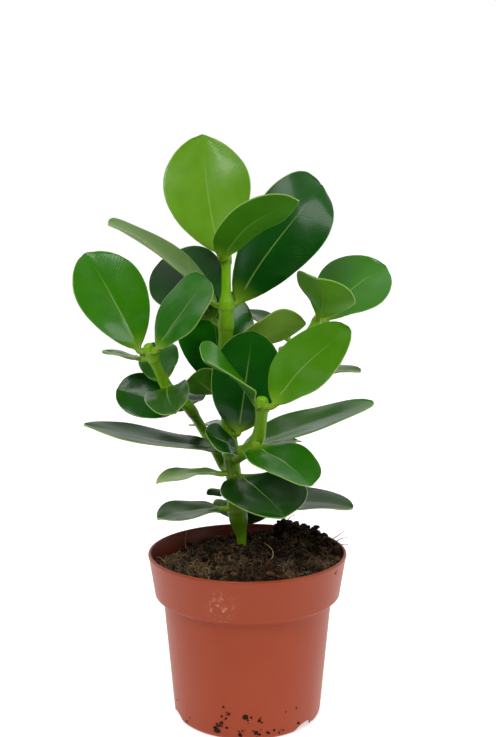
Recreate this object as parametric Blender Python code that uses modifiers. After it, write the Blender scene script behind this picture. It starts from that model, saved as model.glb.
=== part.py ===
"""Potted autograph tree (Clusia): a moulded nursery pot, its soil, four green stems and their leaves.

Run with: blender --background --python part.py
The origin is the middle of the pot's foot, on the ground. +Z is up, -Y is the side the plant shows.
Sizes are written in millimetres and turned to metres where a mesh is made.
"""
import math
from collections import namedtuple

import bmesh
import bpy
from mathutils import Vector, noise

MM = 0.001
GAP = 0.4
WELD = 0.0001
UP = Vector((0, 0, 1))
COLLECTION = "potted_autograph_tree"

# Pot: a 12 cm thermoformed nursery pot with a deep collar.
POT_HEIGHT = 100.0
RIM_RADIUS = 60.0
COLLAR_FOOT_RADIUS = 56.0
COLLAR_HEIGHT = 25.5
BODY_TOP_RADIUS = 50.8
BODY_FOOT_RADIUS = 44.8
WALL = 1.4
LIP_ROLL = 1.0
SHOULDER_DROP = 5.0
FOOT_CORNER = 3.0
FLOOR_LIFT = 5.5
FOOT_RING_WIDTH = 5.0
PAD_RADIUS = 14.0
PAD_SLOPE = 1.5
POT_STEPS = 56
ARCH_COUNT = 3
ARCH_FIRST_ANGLE = 80.0
ARCH_RADIUS = 13.0
ARCH_HEIGHT = 4.6

# Soil: heaped to the rim at the front and right, sunk below it at the back left.
SOIL_MIDDLE = 101.0
SOIL_EDGE = 97.5
SOIL_SAG = 9.5
SOIL_SAG_ANGLE = 150.0
SOIL_RELIEF = 1.8
SOIL_GRAIN = 9.0
SOIL_SPOKES = 40
SOIL_RINGS = 12
CLUMPS = (
    # x, y, height, radius
    (24.0, 33.0, 8.0, 9.0),
    (38.0, 27.0, 6.0, 12.0),
    (47.0, 12.0, 4.5, 10.0),
    (-22.0, -12.0, 2.5, 12.0),
    (15.0, -38.0, 2.0, 12.0),
)
STEM_HOLE_RADIUS = 4.4

# Stems: x, y, z and radius of the axis, from the root up.
MAIN_STEM = (
    (-3.0, 12.5, 78.0, 2.2),
    (-3.5, 12.5, 102.0, 2.9),
    (-4.5, 12.5, 109.5, 4.2),
    (-5.5, 12.5, 116.0, 5.8),
    (-6.5, 12.5, 124.0, 5.4),
    (-8.0, 12.0, 140.0, 4.3),
    (-10.0, 11.0, 157.0, 4.3),
    (-11.5, 10.0, 178.0, 4.1),
    (-12.5, 9.0, 203.0, 4.1),
    (-13.0, 8.0, 226.0, 4.3),
    (-12.5, 7.0, 246.0, 4.2),
    (-12.5, 6.0, 258.0, 2.9),
    (-12.5, 5.0, 281.0, 2.8),
)
BRANCHES = {
    # name: (height of its root on the main stem, points after the root)
    "branch_left": (
        149.0,
        (
            (-20.0, 18.5, 158.0, 2.9),
            (-27.0, 19.0, 170.0, 2.9),
            (-36.0, 9.0, 187.0, 3.0),
            (-46.5, -3.0, 199.0, 3.0),
            (-53.0, -10.0, 214.0, 2.9),
            (-57.5, -14.0, 226.0, 2.7),
        ),
    ),
    "branch_front": (
        156.0,
        (
            (0.0, -5.0, 163.0, 3.3),
            (6.0, -16.0, 172.0, 3.6),
            (8.0, -19.0, 184.0, 3.6),
            (8.5, -20.0, 196.0, 3.3),
        ),
    ),
    "branch_back": (
        176.0,
        (
            (3.0, 20.0, 182.0, 2.7),
            (11.0, 26.0, 189.0, 2.7),
            (20.0, 31.0, 200.0, 2.7),
            (29.0, 37.0, 218.0, 2.7),
            (39.0, 41.0, 229.0, 2.6),
            (46.0, 42.0, 240.0, 2.5),
        ),
    ),
}
STEM_STEP = 5.5
NODE_SWELL = 0.6
NODE_SPREAD = 3.5
BUD = ((1.0, 0.85), (1.9, 0.5))  # rise above the stem's end, share of its radius

# Leaves: a short stalk that lofts into a thick blade.
BLADE_EDGE = 0.8
RIB_DEPTH = 1.1
STALK_WIDTH = 4.0
STALK_DEPTH = 3.2
TIP_WIDTH = 2.0
RIB_SHARPNESS = 0.22
PATH_STEPS = 48
ACROSS = (-1.0, -0.55, 0.0, 0.55, 1.0)
ALONG = (0.05, 0.15, 0.28, 0.42, 0.56, 0.70, 0.83, 0.93, 1.0)
STALK_STATIONS = (0.0, 0.5, 1.0)

LEAF_FIELDS = "name stem height azimuth elevation roll length width tone"
SHAPE_DEFAULTS = {
    "widest": 0.56,  # where the blade is widest, from 0 at its base to 1 at its tip
    "tip": 0.55,  # under 0.5 is blunt, over 0.6 is pointed
    "fold": 10.0,  # degrees that each half rises from the midrib
    "arch": 18.0,  # degrees that the blade bends back from base to tip
    "hook": 0.0,  # further degrees in the last third
    "bow": 0.0,  # degrees that the midrib curves sideways from base to tip
    "wave": 0.9,  # height of the margin's waves
    "phase": 0.0,  # where the waves start, in turns
    "stalk": 3.5,
    "swing": 0.0,  # degrees that the root sits round the stem from the blade's azimuth
}
Leaf = namedtuple("Leaf", LEAF_FIELDS.split() + list(SHAPE_DEFAULTS))

# Azimuth 0 points to +X and 90 to +Y, away from the shown side. Roll turns the blade about its midrib.
LEAVES = (
    ("leaf_top_back", "main", 277, 131, 78, -35, 72, 52, "young",
     {"fold": 6, "tip": 0.74, "arch": 11, "bow": 15}),
    ("leaf_top_front", "main", 276, -38, 30, -16, 64, 34, "young",
     {"fold": 7, "arch": 20, "tip": 0.48, "bow": -44, "swing": -85, "stalk": 4.7}),
    ("leaf_crown_right", "main", 248, 26, 51, 89, 93, 49, "dark",
     {"fold": 5, "arch": 7, "hook": 34, "bow": 22, "tip": 0.46, "widest": 0.62, "swing": 15}),
    ("leaf_crown_left", "main", 248, 177, 37, -8, 81, 38, "grey",
     {"fold": 17, "arch": 12, "bow": -50, "tip": 0.36, "phase": 0.4, "stalk": 3}),
    ("leaf_shoulder_back", "main", 236, 130, 35, -43, 62, 48, "dark",
     {"fold": 5, "arch": 15, "tip": 0.55, "widest": 0.6, "bow": -20, "stalk": 7.4}),
    ("leaf_shoulder_front", "main", 223, 15, 16, -43, 49, 31, "olive",
     {"fold": 14, "hook": 13, "widest": 0.61, "tip": 0.6, "bow": 19, "swing": -87}),
    ("leaf_heart_back", "main", 195, 110, 66, -15, 66, 48, "dark", {}),
    ("leaf_heart_front", "main", 195, -158, 36, 45, 18, 27, "olive", {}),
    ("leaf_heart_upright", "main", 170, -40, 80, 135, 63, 42, "dark", {}),
    ("leaf_heart_rear", "main", 186, 75, 22, 0, 54, 32, "dark", {}),
    ("leaf_wing_left", "main", 162, -168, 12, -7, 85, 33, "grey",
     {"arch": -6, "widest": 0.48, "tip": 0.4, "bow": 12, "swing": 58}),
    ("leaf_wing_right", "main", 160, 14, 16, 7, 87, 40, "grey", {"arch": 1, "widest": 0.47, "tip": 0.6}),
    ("leaf_waist_left", "main", 172, 118, -8, -3, 40, 20, "dark", {}),
    ("leaf_waist_right", "main", 154, 34, 6, 0, 42, 32, "dark", {}),
    ("leaf_skirt_front", "main", 145, -63, -12, 6, 58, 50, "dark", {}),
    ("leaf_skirt_left", "main", 146, -158, -4, -8, 41, 16, "grey", {"fold": 14, "arch": 30, "bow": -15}),
    ("leaf_skirt_back", "main", 133, 110, -24, -4, 20, 24, "dark", {}),
    ("leaf_foot_left", "main", 124, -156, -2, -7, 42, 29, "grey", {}),
    ("leaf_foot_right", "main", 125, -5, -1, 8, 62, 36, "grey", {"arch": 14, "tip": 0.6, "bow": 16}),
    ("leaf_foot_back", "main", 125, 82, -36, 0, 40, 40, "dark", {"arch": 20, "fold": 14}),
    ("leaf_left_high", "branch_left", 224, 164, 60, -49, 64, 42, "young",
     {"fold": 14, "arch": 23, "tip": 0.65, "swing": 15, "stalk": 4.5}),
    ("leaf_left_inner", "branch_left", 223, 1, 53, 36, 49, 40, "young",
     {"fold": 6, "arch": 10, "widest": 0.63, "tip": 0.36, "bow": 12, "swing": -45, "stalk": 4}),
    ("leaf_left_behind", "branch_left", 201, 98, 40, -14, 30, 25, "grey",
     {"arch": 15, "hook": 5, "tip": 0.4, "bow": 32}),
    ("leaf_left_heart", "branch_left", 202, -81, -11, 18, 42, 26, "mid",
     {"fold": 14, "arch": 38, "widest": 0.5, "tip": 0.36, "bow": -12, "stalk": 2.5}),
    ("leaf_left_level", "branch_left", 219, 170, 9, 4, 24, 18, "grey", {"arch": 6, "wave": 0.4}),
    ("leaf_left_low", "branch_left", 187, 179, 18, -62, 38, 28, "dark", {"tip": 0.46}),
    ("leaf_left_tucked", "branch_left", 184, 95, 14, 10, 24, 22, "grey", {}),
    ("leaf_front_folded", "branch_front", 193, -139, 36, -27, 47, 42, "young",
     {"fold": 15, "arch": 33, "hook": 4, "widest": 0.71, "tip": 0.48, "bow": -15, "swing": 20}),
    ("leaf_front_high", "branch_front", 192, 8, 44, 35, 62, 43, "young",
     {"fold": 6, "arch": 6, "tip": 0.63, "widest": 0.52, "bow": 31, "swing": -42, "stalk": 5}),
    ("leaf_front_low", "branch_front", 172, -53, -15, 6, 51, 37, "mid",
     {"arch": 14, "hook": 4, "widest": 0.46, "tip": 0.52, "swing": -35}),
    ("leaf_front_small", "branch_front", 162, -146, 32, -47, 26, 20, "dark", {"stalk": 2.5}),
    ("leaf_right_front", "branch_back", 238, -96, 30, -23, 51, 39, "olive",
     {"fold": 15, "arch": 14, "hook": 4, "widest": 0.63, "bow": 31}),
    ("leaf_right_back", "branch_back", 238, 24, 36, 33, 55, 51, "young",
     {"fold": 12, "arch": 21, "tip": 0.69, "bow": 26}),
    ("leaf_right_inner", "branch_back", 221, 152, 30, 0, 36, 26, "grey", {}),
    ("leaf_right_level", "branch_back", 206, -5, 2, 6, 41, 26, "grey", {"arch": 8}),
    ("leaf_right_low", "branch_back", 210, 65, 12, 0, 44, 32, "mid", {}),
)

# Colours as sRGB hex, with roughness.
FINISHES = {
    "pot": ("#A64F36", 0.42),
    "soil": ("#3A2A20", 0.95),
    "stem": ("#6B9A2B", 0.45),
    "young": ("#4E9420", 0.30),
    "mid": ("#2F7A1C", 0.30),
    "dark": ("#17500F", 0.28),
    "grey": ("#5E7A5C", 0.35),
    "olive": ("#56761F", 0.50),
}


def clear_scene():
    for found in list(bpy.data.objects):
        bpy.data.objects.remove(found, do_unlink=True)


def linear(channel):
    if channel <= 0.04045:
        return channel / 12.92
    return ((channel + 0.055) / 1.055) ** 2.4


def finish(name, kind):
    """A Principled material of its own for one piece."""
    hex_colour, roughness = FINISHES[kind]
    channels = [int(hex_colour[i : i + 2], 16) / 255 for i in (1, 3, 5)]
    material = bpy.data.materials.new(name)
    material.use_nodes = True
    shader = material.node_tree.nodes["Principled BSDF"]
    shader.inputs["Base Color"].default_value = [linear(c) for c in channels] + [1.0]
    shader.inputs["Roughness"].default_value = roughness
    shader.inputs["Metallic"].default_value = 0.0
    material.diffuse_color = shader.inputs["Base Color"].default_value
    return material


def collection(name):
    made = bpy.data.collections.new(name)
    bpy.context.scene.collection.children.link(made)
    return made


def add_object(name, data, kind, parts):
    made = bpy.data.objects.new(name, data)
    parts.objects.link(made)
    data.materials.append(finish(name, kind))
    return made


def mesh_from(bm, name, smooth_angle=40.0):
    """A smooth shaded mesh from a bmesh: faces turned outward, millimetres turned to metres."""
    bmesh.ops.recalc_face_normals(bm, faces=bm.faces)
    bmesh.ops.scale(bm, vec=(MM, MM, MM), verts=bm.verts)
    mesh = bpy.data.meshes.new(name)
    bm.to_mesh(mesh)
    bm.free()
    mesh.shade_smooth()
    mesh.set_sharp_from_angle(angle=math.radians(smooth_angle))
    return mesh


def pot_profile():
    """Half section of the pot as (radius, height), down the outside and back up the inside."""
    collar_foot = POT_HEIGHT - COLLAR_HEIGHT
    body_top = collar_foot - SHOULDER_DROP
    outside = [
        (RIM_RADIUS - LIP_ROLL, POT_HEIGHT),
        (RIM_RADIUS, POT_HEIGHT - LIP_ROLL),
        (RIM_RADIUS - 0.4, POT_HEIGHT - 2.5 * LIP_ROLL),
        (COLLAR_FOOT_RADIUS, collar_foot + 0.8),
        (COLLAR_FOOT_RADIUS - 0.9, collar_foot - 0.4),
        (BODY_TOP_RADIUS + 0.8, body_top + 1.6),
        (BODY_TOP_RADIUS, body_top),
        (BODY_FOOT_RADIUS, FOOT_CORNER),
        (BODY_FOOT_RADIUS - 0.9, 0.9),
        (BODY_FOOT_RADIUS - FOOT_CORNER, 0.0),
    ]
    inner_foot = BODY_FOOT_RADIUS - FOOT_RING_WIDTH
    underside = [
        (inner_foot, 0.0),
        (inner_foot - 1.0, FLOOR_LIFT),
        (PAD_RADIUS + PAD_SLOPE, FLOOR_LIFT),
        (PAD_RADIUS, 0.0),
        (0.0, 0.0),
    ]
    floor = FLOOR_LIFT + WALL
    inside = [
        (0.0, WALL),
        (PAD_RADIUS - 0.8, WALL),
        (PAD_RADIUS + PAD_SLOPE - 1.2, floor),
        (soil_wall_radius(floor) - 1.5, floor),
        (soil_wall_radius(floor + 1.5), floor + 1.5),
        (BODY_TOP_RADIUS - WALL, body_top + 0.5),
        (COLLAR_FOOT_RADIUS - WALL - 0.4, collar_foot + 0.3),
        (RIM_RADIUS - WALL - 0.6, POT_HEIGHT - 1.0),
        (RIM_RADIUS - WALL - 0.1, POT_HEIGHT),
    ]
    return outside + underside, inside


def soil_wall_radius(height):
    """Inner radius of the pot's body at a height below the shoulder."""
    rise = (height - FOOT_CORNER) / (POT_HEIGHT - COLLAR_HEIGHT - SHOULDER_DROP - FOOT_CORNER)
    return BODY_FOOT_RADIUS + (BODY_TOP_RADIUS - BODY_FOOT_RADIUS) * rise - WALL


def make_pot(parts, cutters):
    """The pot is a turned shell that stands on its foot ring and on a pad in the middle of its floor.

    Three low arches are cut in the foot to drain and to air it.
    """
    outer, inner = pot_profile()
    profile = outer + inner
    mesh = bpy.data.meshes.new("pot")
    points = [(radius * MM, 0.0, height * MM) for radius, height in profile]
    edges = [(i, i + 1) for i in range(len(points) - 1)] + [(len(points) - 1, 0)]
    axis_edge = (len(outer) - 1, len(outer))
    edges.remove(axis_edge)
    mesh.from_pydata(points, edges, [])
    pot = add_object("pot", mesh, "pot", parts)
    turn = pot.modifiers.new("turn", "SCREW")
    turn.steps = POT_STEPS
    turn.render_steps = POT_STEPS
    turn.merge_threshold = WELD
    turn.use_merge_vertices = True
    for index in range(ARCH_COUNT):
        angle = math.radians(ARCH_FIRST_ANGLE + 360.0 * index / ARCH_COUNT)
        cutter = arch_cutter("foot_arch_%d" % (index + 1), angle, cutters)
        cut = pot.modifiers.new(cutter.name, "BOOLEAN")
        cut.operation = "DIFFERENCE"
        cut.object = cutter
    return pot


def arch_cutter(name, angle, cutters):
    """A round bar lying along a spoke, most of it below the ground."""
    inner = BODY_FOOT_RADIUS - FOOT_RING_WIDTH - 3.0
    outer = BODY_FOOT_RADIUS + 3.0
    bm = bmesh.new()
    bmesh.ops.create_cone(
        bm, cap_ends=True, segments=32, radius1=ARCH_RADIUS * MM, radius2=ARCH_RADIUS * MM,
        depth=(outer - inner) * MM,
    )
    mesh = bpy.data.meshes.new(name)
    bm.to_mesh(mesh)
    bm.free()
    cutter = bpy.data.objects.new(name, mesh)
    spoke = Vector((math.cos(angle), math.sin(angle), 0))
    cutter.rotation_mode = "QUATERNION"
    cutter.rotation_quaternion = UP.rotation_difference(spoke)
    cutter.location = (spoke * (outer + inner) / 2 + UP * (ARCH_HEIGHT - ARCH_RADIUS)) * MM
    cutter.hide_render = True
    cutter.display_type = "WIRE"
    cutters.objects.link(cutter)
    return cutter


def soil_height(x, y):
    """Height of the heaped soil's surface."""
    reach = min(1.0, math.hypot(x, y) / (RIM_RADIUS - 2 * WALL))
    bearing = math.atan2(y, x) - math.radians(SOIL_SAG_ANGLE)
    sag = SOIL_SAG * max(0.0, math.cos(bearing)) ** 1.5 * reach**2
    level = SOIL_MIDDLE + (SOIL_EDGE - SOIL_MIDDLE) * reach**3 - sag
    for cx, cy, height, radius in CLUMPS:
        level += height * math.exp(-((x - cx) ** 2 + (y - cy) ** 2) / radius**2)
    grain = noise.noise(Vector((x, y, 3.0)) / SOIL_GRAIN)
    fine = noise.noise(Vector((x, y, 7.0)) / SOIL_GRAIN * 2.3)
    return level + SOIL_RELIEF * (grain + 0.5 * fine)


def collar_radius(height):
    """Inner radius of the pot's collar."""
    low = POT_HEIGHT - COLLAR_HEIGHT
    rise = (height - low) / COLLAR_HEIGHT
    foot = COLLAR_FOOT_RADIUS - WALL - 0.4
    return foot + (RIM_RADIUS - WALL - 0.6 - foot) * min(rise, 1.0)


def make_soil(parts, cutters):
    """The root ball: it fills the pot, with a plain hole for the main stem."""
    bm = bmesh.new()
    floor = FLOOR_LIFT + WALL + GAP
    body_top = POT_HEIGHT - COLLAR_HEIGHT - SHOULDER_DROP
    collar_foot = POT_HEIGHT - COLLAR_HEIGHT
    pad = WALL + GAP
    walls = [
        (PAD_RADIUS - 1.6, pad),
        (PAD_RADIUS + PAD_SLOPE - 2.1, floor),
        (soil_wall_radius(floor) - 2.2, floor),
        (soil_wall_radius(floor + 2.0) - 0.8, floor + 2.0),
        (BODY_TOP_RADIUS - WALL - 0.7, body_top + 0.8),
        (collar_radius(collar_foot) - 1.0, collar_foot + 1.7),
    ]
    rings = []
    for radius, height in walls:
        rings.append([bm.verts.new(spoke_point(i, radius, height)) for i in range(SOIL_SPOKES)])
    rim = [soil_rim_point(i) for i in range(SOIL_SPOKES)]
    for step in range(SOIL_RINGS, 0, -1):
        share = step / SOIL_RINGS
        ring = []
        for point in rim:
            x, y = point.x * share, point.y * share
            ring.append(bm.verts.new((x, y, point.z if step == SOIL_RINGS else soil_height(x, y))))
        rings.append(ring)
    for low, high in zip(rings, rings[1:]):
        join_rings(bm, low, high)
    bottom = bm.verts.new((0, 0, pad))
    top = bm.verts.new((0, 0, soil_height(0, 0)))
    for i in range(SOIL_SPOKES):
        j = (i + 1) % SOIL_SPOKES
        bm.faces.new((rings[0][j], rings[0][i], bottom))
        bm.faces.new((rings[-1][i], rings[-1][j], top))
    soil = add_object("soil", mesh_from(bm, "soil", 60.0), "soil", parts)
    cut = soil.modifiers.new("stem_hole", "BOOLEAN")
    cut.operation = "DIFFERENCE"
    cut.object = stem_hole(cutters)
    return soil


def spoke_point(index, radius, height):
    angle = 2 * math.pi * index / SOIL_SPOKES
    return Vector((radius * math.cos(angle), radius * math.sin(angle), height))


def soil_rim_point(index):
    """Where the soil meets the collar, a hair inside the plastic."""
    near = spoke_point(index, RIM_RADIUS - 3 * WALL, 0)
    height = min(soil_height(near.x, near.y), POT_HEIGHT - 1.5)
    return spoke_point(index, collar_radius(height) - 0.8, height)


def join_rings(bm, low, high):
    count = len(low)
    for i in range(count):
        j = (i + 1) % count
        bm.faces.new((low[i], low[j], high[j]))
        bm.faces.new((low[i], high[j], high[i]))


def stem_hole(cutters):
    """A straight pin where the main stem stands, a little wider than the stem."""
    bottom, top = MAIN_STEM[0][2] - 1.5, SOIL_MIDDLE + 12.0
    foot = Vector(MAIN_STEM[1][:3])
    bm = bmesh.new()
    bmesh.ops.create_cone(
        bm, cap_ends=True, segments=16, radius1=STEM_HOLE_RADIUS * MM, radius2=STEM_HOLE_RADIUS * MM,
        depth=(top - bottom) * MM,
    )
    mesh = bpy.data.meshes.new("stem_hole")
    bm.to_mesh(mesh)
    bm.free()
    pin = bpy.data.objects.new("stem_hole", mesh)
    pin.location = Vector((foot.x, foot.y, (top + bottom) / 2)) * MM
    pin.hide_render = True
    pin.display_type = "WIRE"
    cutters.objects.link(pin)
    return pin


def smooth_path(points):
    """Catmull-Rom curve through (x, y, z, radius) points, a sample every few millimetres."""
    knots = [Vector(p) for p in points]
    knots = [2 * knots[0] - knots[1]] + knots + [2 * knots[-1] - knots[-2]]
    path = []
    for a, b, c, d in zip(knots, knots[1:], knots[2:], knots[3:]):
        steps = max(1, round((c - b).xyz.length / STEM_STEP))
        for k in range(steps):
            t = k / steps
            path.append(
                0.5 * (2 * b + (c - a) * t + (2 * a - 5 * b + 4 * c - d) * t**2
                       + (3 * b - 3 * c + d - a) * t**3)
            )
    return path + [knots[-2]]


def on_path(path, height):
    """Centre, axis and radius of a stem where it passes a height."""
    for a, b in zip(path, path[1:]):
        if a.z <= height <= b.z:
            here = a.lerp(b, (height - a.z) / (b.z - a.z))
            return here.xyz, (b - a).xyz.normalized(), here.w
    raise ValueError("no stem at height %g" % height)


def branch_path(main, height, points):
    """A branch starts square to the main stem, a hair clear of it."""
    centre, axis, radius = on_path(main, height)
    outward = Vector(points[0][:3]) - centre
    outward = (outward - axis * outward.dot(axis)).normalized()
    first_radius = points[0][3]
    start = centre + outward * (radius + NODE_SWELL + GAP)
    collar = start + outward * 2.0
    roots = [(*start, first_radius + 0.3), (*collar, first_radius + 0.2)]
    return smooth_path(roots + list(points))


def with_bud(path):
    """Rounds the growing end of a stem into a small bud."""
    tip = path[-1]
    ahead = (tip - path[-2]).xyz.normalized()
    bud = [Vector((*(tip.xyz + ahead * rise), tip.w * share)) for rise, share in BUD]
    return path + bud


def stem_paths():
    paths = {"main": smooth_path(MAIN_STEM)}
    for name, (height, points) in BRANCHES.items():
        paths[name] = branch_path(paths["main"], height, points)
    return {name: with_bud(path) for name, path in paths.items()}


def make_stem(name, path, node_heights, parts):
    """A tapered tube, slightly swollen where leaves and branches spring from it."""
    curve = bpy.data.curves.new(name, "CURVE")
    curve.dimensions = "3D"
    curve.bevel_depth = MM
    curve.bevel_resolution = 2
    curve.use_fill_caps = True
    spline = curve.splines.new("POLY")
    spline.points.add(len(path) - 1)
    for point, sample in zip(spline.points, path):
        swell = sum(math.exp(-(((sample.z - h) / NODE_SPREAD) ** 2)) for h in node_heights)
        point.co = (*(sample.xyz * MM), 1.0)
        point.radius = sample.w + NODE_SWELL * min(1.0, swell)
    return add_object(name, curve, "stem", parts)


def leaf_axes(leaf):
    """Directions of a blade at its base: along the midrib, to its side and up from its face.

    Azimuth and elevation point from the base to the tip, so the base rises by the blade's mean bend.
    """
    azimuth, elevation = math.radians(leaf.azimuth), math.radians(leaf.elevation)
    chord = Vector((math.cos(elevation) * math.cos(azimuth), math.cos(elevation) * math.sin(azimuth),
                    math.sin(elevation)))
    side = Vector((math.sin(azimuth), -math.cos(azimuth), 0))
    above = side.cross(chord)
    turn = math.radians(leaf.roll)
    above = above * math.cos(turn) + chord.cross(above) * math.sin(turn)
    rise = math.radians(leaf.arch / 2 + leaf.hook / 5)
    along = chord * math.cos(rise) + above * math.sin(rise)
    up = above * math.cos(rise) - chord * math.sin(rise)
    return along, along.cross(up), up


def leaf_root(leaf, paths):
    """Root of the stalk on the stem's skin, and the direction in which it leaves."""
    centre, axis, radius = on_path(paths[leaf.stem], leaf.height)
    bearing = math.radians(leaf.azimuth + leaf.swing)
    outward = Vector((math.cos(bearing), math.sin(bearing), 0))
    outward = (outward - axis * outward.dot(axis)).normalized()
    return centre + outward * (radius + NODE_SWELL + GAP), outward


def blade_path(leaf, start, along, up):
    """Midrib points with their own along and up vectors, bent back by arch and hook, sideways by bow."""
    frames = [(start.copy(), along.copy(), up.copy())]
    centre = start.copy()
    side = along.cross(up)
    for k in range(PATH_STEPS):
        share = (k + 0.5) / PATH_STEPS
        bend = math.radians(leaf.arch * share + leaf.hook * share**4)
        ahead = along * math.cos(bend) - up * math.sin(bend)
        above = up * math.cos(bend) + along * math.sin(bend)
        turn = math.radians(leaf.bow * (share - 0.5))
        ahead = ahead * math.cos(turn) + side * math.sin(turn)
        centre = centre + ahead * (leaf.length / PATH_STEPS)
        frames.append((centre, ahead, above))
    return frames


def half_width(leaf, share):
    """Half the blade's width, from its base at 0 to its tip at 1."""
    base = leaf.tip * leaf.widest / (1 - leaf.widest)
    peak = leaf.widest**base * (1 - leaf.widest) ** leaf.tip
    blade = leaf.width / 2 * share**base * (1 - share) ** leaf.tip / peak
    least = STALK_WIDTH / 2 * (1 - share) + TIP_WIDTH / 2 * share
    return math.hypot(blade, least)


def section(centre, side, up, across, leaf, share):
    """One ring of the loft: over the face from side to side, then back under it."""
    width = half_width(leaf, share) if share > 0 else STALK_WIDTH / 2
    body = max(0.0, 1 - share / 0.18) if share > 0 else 1.0
    rib = RIB_DEPTH * (1 - share) ** 0.7
    slope = math.tan(math.radians(leaf.fold)) * (1 - body)
    top, bottom = [], []
    for t in across:
        crease = math.sqrt(t * t + RIB_SHARPNESS**2) - RIB_SHARPNESS
        ripple = leaf.wave * abs(t) ** 3 * math.sin(2 * math.pi * (1.4 * share + leaf.phase + 0.2 * t))
        lift = slope * width * crease + ripple * (1 - body)
        middle = centre + side * (t * width) + up * lift
        round_off = math.sqrt(max(0.0, 1 - t * t))
        stalk = (STALK_DEPTH - BLADE_EDGE) / 2 * body * round_off
        ridge = rib * (1 - body) * max(0.0, 1 - abs(t) / 0.25)
        top.append(middle + up * (BLADE_EDGE / 2 + stalk))
        bottom.append(middle - up * (BLADE_EDGE / 2 + stalk + ridge))
    return top, bottom


def leaf_sections(leaf, paths):
    """All rings of a leaf, from the flat end of its stalk to the tip of its blade."""
    root, outward = leaf_root(leaf, paths)
    along, side, up = leaf_axes(leaf)
    bend_point = root + outward * leaf.stalk * 0.5
    base = bend_point + along * leaf.stalk * 0.5
    rings = []
    for t in STALK_STATIONS:
        centre = root.lerp(bend_point, t).lerp(bend_point.lerp(base, t), t)
        heading = outward.lerp(along, t).normalized()
        turn = along.rotation_difference(heading)
        rings.append(section(centre, turn @ side, turn @ up, ACROSS, leaf, 0.0))
    frames = blade_path(leaf, base, along, up)
    for share in ALONG:
        centre, ahead, above = frames[round(share * PATH_STEPS)]
        rings.append(section(centre, ahead.cross(above), above, ACROSS, leaf, share))
    return rings


def make_leaf(leaf, paths, parts):
    """Lofts stalk and blade as one body, split alike on its upper and lower faces."""
    bm = bmesh.new()
    rings = []
    for top, bottom in leaf_sections(leaf, paths):
        rings.append(([bm.verts.new(p) for p in top], [bm.verts.new(p) for p in bottom]))
    last = len(ACROSS) - 1
    for (top_a, bottom_a), (top_b, bottom_b) in zip(rings, rings[1:]):
        for i in range(last):
            add_pair(bm, top_a[i], top_a[i + 1], top_b[i + 1], top_b[i])
            add_pair(bm, bottom_a[i], bottom_a[i + 1], bottom_b[i + 1], bottom_b[i])
        for i in (0, last):
            add_pair(bm, top_a[i], bottom_a[i], bottom_b[i], top_b[i])
    for top, bottom in (rings[0], rings[-1]):
        for i in range(last):
            add_pair(bm, top[i], top[i + 1], bottom[i + 1], bottom[i])
    return add_object(leaf.name, mesh_from(bm, leaf.name), leaf.tone, parts)


def add_pair(bm, a, b, c, d):
    """Two triangles for four corners, always split from a to c."""
    bm.faces.new((a, b, c))
    bm.faces.new((a, c, d))


def all_leaves():
    leaves = []
    for *fields, changes in LEAVES:
        leaves.append(Leaf(*fields, **{**SHAPE_DEFAULTS, **changes}))
    return leaves


def main():
    clear_scene()
    parts = collection(COLLECTION)
    cutters = collection("cutters")
    leaves = all_leaves()
    paths = stem_paths()
    make_pot(parts, cutters)
    make_soil(parts, cutters)
    branch_roots = [height for height, _ in BRANCHES.values()]
    for name, path in paths.items():
        nodes = [leaf.height for leaf in leaves if leaf.stem == name]
        if name == "main":
            nodes += branch_roots
        make_stem("main_stem" if name == "main" else name, path, nodes, parts)
    for leaf in leaves:
        make_leaf(leaf, paths, parts)


main()
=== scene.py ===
"""Looks of a potted autograph tree (Clusia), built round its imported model.

Sizes are in millimetres, as in the model's own source, and turn to metres where a mesh is made.
"""

import math
import random
from collections import namedtuple
from functools import partial

import bmesh
import bpy
from bpy.props import FloatProperty, FloatVectorProperty, IntProperty, PointerProperty
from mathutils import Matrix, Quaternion, Vector, noise


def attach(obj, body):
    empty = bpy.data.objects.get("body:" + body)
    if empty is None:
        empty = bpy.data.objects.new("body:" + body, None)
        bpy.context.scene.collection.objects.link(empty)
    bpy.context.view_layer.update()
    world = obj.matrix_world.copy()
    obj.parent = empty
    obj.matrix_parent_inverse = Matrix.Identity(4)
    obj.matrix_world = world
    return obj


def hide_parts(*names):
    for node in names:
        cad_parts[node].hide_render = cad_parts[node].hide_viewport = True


bl_info = {
    "name": "Potted autograph tree looks",
    "version": (1, 0, 0),
    "blender": (4, 5, 0),
    "location": "3D View > Sidebar > Clusia",
    "description": "Gives the packed model of a potted autograph tree its leaves, soil and finishes",
    "category": "Object",
}

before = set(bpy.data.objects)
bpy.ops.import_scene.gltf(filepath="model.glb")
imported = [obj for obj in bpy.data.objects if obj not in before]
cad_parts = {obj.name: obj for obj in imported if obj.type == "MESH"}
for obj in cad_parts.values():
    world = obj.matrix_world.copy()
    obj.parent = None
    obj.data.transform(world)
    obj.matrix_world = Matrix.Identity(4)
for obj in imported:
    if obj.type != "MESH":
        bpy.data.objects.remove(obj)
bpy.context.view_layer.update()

MM = 0.001
UP = Vector((0, 0, 1))
BODY = "root"

# Pot, as in the model.
POT_HEIGHT = 100.0
RIM_RADIUS = 60.0
COLLAR_FOOT_RADIUS = 56.0
COLLAR_HEIGHT = 25.5
BODY_TOP_RADIUS = 50.8
BODY_FOOT_RADIUS = 44.8
WALL = 1.4
SHOULDER_DROP = 5.0
FLOOR_LIFT = 5.5
FOOT_RING_WIDTH = 5.0
FOOT_CORNER = 3.0
PAD_RADIUS = 14.0
PAD_SLOPE = 1.5
ARCH_ANGLES = (80.0, 200.0, 320.0)
ARCH_RADIUS = 13.0
ARCH_HEIGHT = 4.6

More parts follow.
